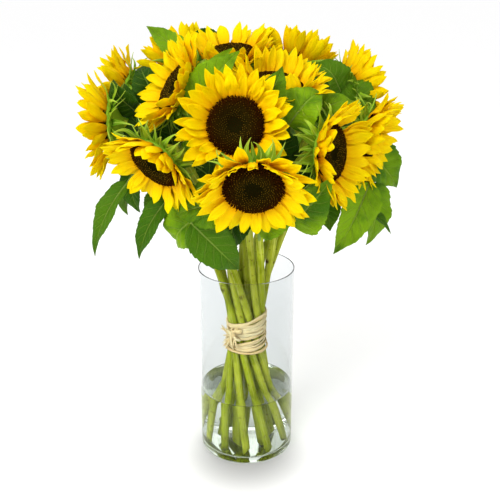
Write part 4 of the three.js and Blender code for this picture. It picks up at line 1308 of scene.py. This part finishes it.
# Painted shade: a tint below nought turns the green darker, for leaves in the heads' shade.
green = leaf_look.mix(leaf_look.band(tint, -0.2, -1.0), green, PAINTED_SHADE_GREEN)
top_side = leaf_look.mix(leaf_look.math("MULTIPLY", veins, 0.42), green, VEIN)
under_side = leaf_look.mix(leaf_look.math("MULTIPLY", veins, 0.5), UNDERSIDE, UNDER_VEIN)
face = leaf_look.mix(leaf_look.add("Clamp", {0: kind}).outputs[0], top_side, under_side)
leaf_look.colour(leaf_look.mix(leaf_look.band(kind, 1.2, 1.8), face, STALK))
leaf_look.rough(blotch, 0.2, 0.33)
relief = leaf_look.math("MULTIPLY_ADD", leaf_look.noise((60, 30, 1)), 0.35, veins)
leaf_look.bump(leaf_look.math("MULTIPLY", relief, -1.0), 0.002, 0.8)

for stem in sorted({place.stem for place in PLACES}):
    grown = [place for place in PLACES if place.stem == stem]
    parts = [part for place in grown
             for part in (FLAT_BLADE.bent(place.blade, tint=place.tint), place.stalk())]
    build("leaves_" + stem, parts, leaf_look, "green", "stem_" + stem)
print("leaves on", len({place.stem for place in PLACES}), "stems")

# %% [markdown]
# ## Raffia tie
# Raffia is flat dry palm leaf, split into strips: they are wound round the stems a few times, one
# a little across the other, and knotted at the front left, where frayed ends stick out. A texture
# on a ring would lose the loose edges, so each strip is a thin curved strap of its own that
# follows the outline of the stems.

# %% Straps
ACROSS = np.linspace(-1, 1, 5)
STRIP_THICK = 0.35
CREASE, BUCKLE = 0.3, 0.25


def strap(path, outward, width, seed, bulge, tint):
    """A thin crumpled strip along a path in millimetres, bulging outwards."""
    width = np.broadcast_to(width, len(path))
    length = travelled(path)
    rings = []
    for k, along in enumerate(directions(path)):
        out = unit(outward[k] - along * outward[k].dot(along))
        side = np.cross(out, along)
        crease = CREASE * np.sin(np.arange(len(ACROSS)) * 2.1 + length[k] * 0.22 + 9 * chance(seed))
        buckle = BUCKLE * sin(length[k] * 0.5 + 5 * chance(seed + 0.5))
        high = bulge * (1 - ACROSS ** 2) + crease + buckle
        top = path[k] + np.outer(ACROSS * width[k] / 2, side) + np.outer(high, out)
        rings.append(np.concatenate([top, (top - STRIP_THICK * out)[::-1]]) * MM)
    return loft(rings, length * MM, tint)


print("strap of", 2 * len(ACROSS), "points a ring")

# %% Strips round the stems
TIE_BOTTOM, TIE_TOP = 138.5, 186.5
WRAPS, WRAP_TURN, WRAP_STEPS = 15, 372, 110
WRAP_WIDTH = 5.4
LOOSE_PLACE, LOOSE_GAP = 0.42, 3.4
SLANT_DIRECTION, SLANT, MORE_SLANT, SLANTS = 12, 1.8, 5.4, 3.2
PATHS = [line.path(lower=30, upper=80)[:60] / MM for line in LINES.values()]


def bundle_reach(degrees, height):
    """How far the stems' outline lies from the axis in one direction at one height."""
    direction = on_circle(1, degrees, 0)[:2]
    middles = [[np.interp(height, path[:, 2], path[:, axis]) for axis in (0, 1)] for path in PATHS]
    return max(0, *(float(np.dot(middle, direction)) for middle in middles)) + STEM_RADIUS


def wrap(k):
    share = k / (WRAPS - 1)
    room = TIE_TOP - TIE_BOTTOM - WRAP_WIDTH - LOOSE_GAP
    middle = TIE_BOTTOM + WRAP_WIDTH / 2 + share * room + (LOOSE_GAP if share > LOOSE_PLACE else 0)
    slant = SLANT + MORE_SLANT * share + spread(k, SLANTS)
    degrees = np.linspace(0, WRAP_TURN, WRAP_STEPS) + 360 * chance(k + 0.2)
    height = middle + slant * np.cos(np.radians(degrees - SLANT_DIRECTION))
    height += 1.3 * np.sin(np.radians(2 * degrees + 360 * chance(k + 0.4)))
    height = np.clip(height, TIE_BOTTOM + WRAP_WIDTH / 2, TIE_TOP - WRAP_WIDTH / 2 + 5)
    reach = np.array([bundle_reach(d, h) for d, h in zip(degrees, height)])
    reach = np.convolve(np.pad(reach, 3, mode="edge"), np.ones(7) / 7, mode="valid")
    reach += vary(k + 0.9, 0.3, 2.2)
    points = np.array([on_circle(r, d, h) for r, d, h in zip(reach, degrees, height)])
    outward = np.array([on_circle(1, d, 0) for d in degrees])
    swell = 0.85 + 0.3 * np.sin(np.radians(3 * degrees + 360 * chance(k + 0.6)))
    width = WRAP_WIDTH * vary(k + 0.5, 0.65, 0.5) * swell
    return strap(points, outward, width, k, 1.2, chance(k + 0.8))


print("bundle reach at the front", round(bundle_reach(-90, 162), 1), "mm")

# %% The knot and its frayed ends
KNOT_ANGLE, KNOT_HEIGHT = 232, 164
LOOPS = [(18, 13, 6), (-30, 12, 2), (62, 15, -1), (95, 14, -4)]  # lean, half length, rise in mm
FRAYS = [(150, 22), (163, 15), (196, 13), (222, 20), (238, 26), (252, 17), (118, 15), (40, 12), (-48, 16)]
LOOP_HIGH, LOOP_SUNK, LOOP_BOWS = 4.2, 1.6, 2.4
FRAY_WIDTH = 2.6


def knot_parts():
    rim = bundle_reach(KNOT_ANGLE, KNOT_HEIGHT) + 1.6
    heart = on_circle(rim + 2, KNOT_ANGLE, KNOT_HEIGHT)
    away, tangent = on_circle(1, KNOT_ANGLE, 0), on_circle(1, KNOT_ANGLE + 90, 0)
    up = np.array([0, 0, 1.0])
    parts = []
    t = np.linspace(-1, 1, 20)
    for k, (lean, half, rise) in enumerate(LOOPS):
        line = tangent * cos(radians(lean)) + up * sin(radians(lean))
        lift = LOOP_HIGH * np.sqrt(np.clip(1 - t ** 2, 0, 1)) - LOOP_SUNK + 0.7 * k
        bow = np.outer(LOOP_BOWS * t ** 2 * (chance(k + 1.5) - 0.5), np.cross(line, away))
        path = heart + np.outer(half * t, line) + np.outer(lift, away) + rise * up + bow
        outward = np.outer(1.2 - t ** 2, away) + np.outer(0.8 * t, line)
        parts.append(strap(path, outward, 5.4 - 0.6 * k, 30 + k, 0.9, chance(k + 3.3)))
    t = np.linspace(0, 1, 16)
    for k, (lean, length) in enumerate(FRAYS):
        line = tangent * cos(radians(lean)) + up * sin(radians(lean))
        for strand in (-1, 0, 1):
            seed = 50 + 3 * k + strand
            aside = strand * (0.8 + 3.2 * t ** 2) * (0.5 + chance(seed))
            curl = 2.6 * t ** 2 * sin(9 * chance(seed + 0.3))
            path = (heart + np.outer(length * vary(seed + 0.1, 0.7, 0.3) * t, line)
                    + np.outer(1.2 + 2.6 * t + curl, away) + np.outer(aside, np.cross(line, away)))
            width = FRAY_WIDTH * (1 - t) ** 0.4 + 0.25
            parts.append(strap(path, np.tile(away, (len(t), 1)), width, seed, 0.4, chance(seed + 0.7)))
    return parts


tie_parts = [wrap(k) for k in range(WRAPS)] + knot_parts()
print("raffia strips", len(tie_parts))

# %% Raffia finish
TAN_STRIP, PALE_STRIP, FIBRE = rgb(0.93, 0.68, 0.3), rgb(1.0, 0.9, 0.56), rgb(0.5, 0.32, 0.1)
BLEACHED, STRIP_GAP_SHADE = rgb(0.97, 0.88, 0.6), rgb(0.42, 0.24, 0.07)
STRIP_MIDDLE = 0.2

raffia_look = Look("raffia_straw", {"Specular IOR Level": 0.1})
fibres = raffia_look.noise((15, 55, 1), detail=4.0)
straw = raffia_look.mix(raffia_look.value("tint"), TAN_STRIP, PALE_STRIP)
straw = raffia_look.mix(raffia_look.band(fibres, 0.5, 0.75, 0.55), straw, FIBRE)
straw = raffia_look.mix(raffia_look.math("MULTIPLY", raffia_look.noise(70.0), 0.3), straw, BLEACHED)
# Painted shade: each strip turns brown towards its edges and on its underside, where the strips lie in each
# other's shade.
from_middle = raffia_look.math("ABSOLUTE", raffia_look.math("SUBTRACT", raffia_look.uv()[0], STRIP_MIDDLE))
raffia_look.colour(raffia_look.mix(raffia_look.band(from_middle, 0.12, 0.22, 0.5), straw, STRIP_GAP_SHADE))
raffia_look.rough(fibres, 0.2, 0.6)
raffia_look.bump(fibres, 0.0005, 0.8)
build("raffia_strips", tie_parts, raffia_look, "raffia", "raffia_tie")
print("raffia tie of", WRAPS, "wraps")

# %% [markdown]
# ## Glass cylinder and water
# The vase is blown or pressed glass of even wall with a heavy floor, a fire-polished rim and a
# slightly hollow underside. It could be a cylinder with a Solidify modifier, but its rim and
# corners would be square. Its outline is drawn and spun instead, and so is the water's, which
# climbs a little at the wall and reaches a hair into the glass, so that no film of air shows.

# %% Vase
VASE_RADIUS, VASE_HEIGHT, VASE_WALL, VASE_FLOOR = 60, 250, 1.3, 8
FOOT_ROUND, FLOOR_ROUND = 3, 4
TIGHT = 0.6  # distance of the rings that keep a curve's shading from spreading over the walls
SPIN_STEPS = 128


def arc(middle_radius, middle_height, size, start, end, steps=6):
    angles = np.radians(np.linspace(start, end, steps))
    return [(middle_radius + size * cos(a), middle_height + size * sin(a)) for a in angles]


inner = VASE_RADIUS - VASE_WALL
rim = VASE_WALL / 2
floor_edge, floor_round = inner - FLOOR_ROUND, VASE_FLOOR + FLOOR_ROUND
vase_line = [(0, 0.8), (48, 0.8), (52, 0.2), (54, 0),
             *arc(VASE_RADIUS - FOOT_ROUND, FOOT_ROUND, FOOT_ROUND, -90, 0),
             (VASE_RADIUS, FOOT_ROUND + TIGHT),
             *[(VASE_RADIUS, height) for height in range(20, VASE_HEIGHT - 10, 20)],
             (VASE_RADIUS, VASE_HEIGHT - rim - TIGHT),
             *arc(VASE_RADIUS - rim, VASE_HEIGHT - rim, rim, 0, 180, 8),
             (inner, VASE_HEIGHT - rim - TIGHT),
             *[(inner, height) for height in range(VASE_HEIGHT - 20, 20, -20)],
             (inner, floor_round + TIGHT), *arc(floor_edge, floor_round, FLOOR_ROUND, 0, -90),
             (floor_edge - TIGHT, VASE_FLOOR), (30, VASE_FLOOR), (0, VASE_FLOOR)]
vase = spun(vase_line, SPIN_STEPS)
vase.name = "vase_glass"
bpy.ops.object.shade_smooth()

glass_look = Look("clear_glass", {
    "Base Color": rgb(0.85, 0.87, 0.875), "Roughness": 0.0, "IOR": 1.5, "Transmission Weight": 1.0,
    "Specular Tint": rgb(0.12, 0.12, 0.12)})
glass_look.bump(glass_look.noise(9.0), 0.0008, 0.15)
glass_look.let_light_through(rgb(0.88, 0.9, 0.9))
dress(vase, glass_look, "glass", "vase")
print("vase outline of", len(vase_line), "points")

# %% Water
WATER_TOP = 83.5
WATER_IN_GLASS = 0.4
CLIMB = [(0, 2.2 - TIGHT), (0, 2.2), (0.9, 1.3), (2.0, 0.5), (4, 0), (4 + TIGHT, 0)]

wet = inner + WATER_IN_GLASS
bottom = VASE_FLOOR - WATER_IN_GLASS
wet_edge = wet - FLOOR_ROUND
water_line = [(0, bottom), (wet_edge - TIGHT, bottom),
              *arc(wet_edge, bottom + FLOOR_ROUND, FLOOR_ROUND, -90, 0),
              (wet, bottom + FLOOR_ROUND + TIGHT),
              *[(wet - inwards, WATER_TOP + rise) for inwards, rise in CLIMB],
              (30, WATER_TOP), (0, WATER_TOP)]
water = spun(water_line, SPIN_STEPS)
water.name = "vase_water"
bpy.ops.object.shade_smooth()

water_look = Look("water", {
    "Base Color": rgb(0.95, 0.975, 0.9), "Roughness": 0.0, "IOR": 1.333, "Transmission Weight": 1.0})
water_look.bump(water_look.noise(14.0), 0.001, 0.12)
water_look.let_light_through(rgb(0.98, 0.98, 0.92))
dress(water, water_look, "water", "water")
print("water outline of", len(water_line), "points")
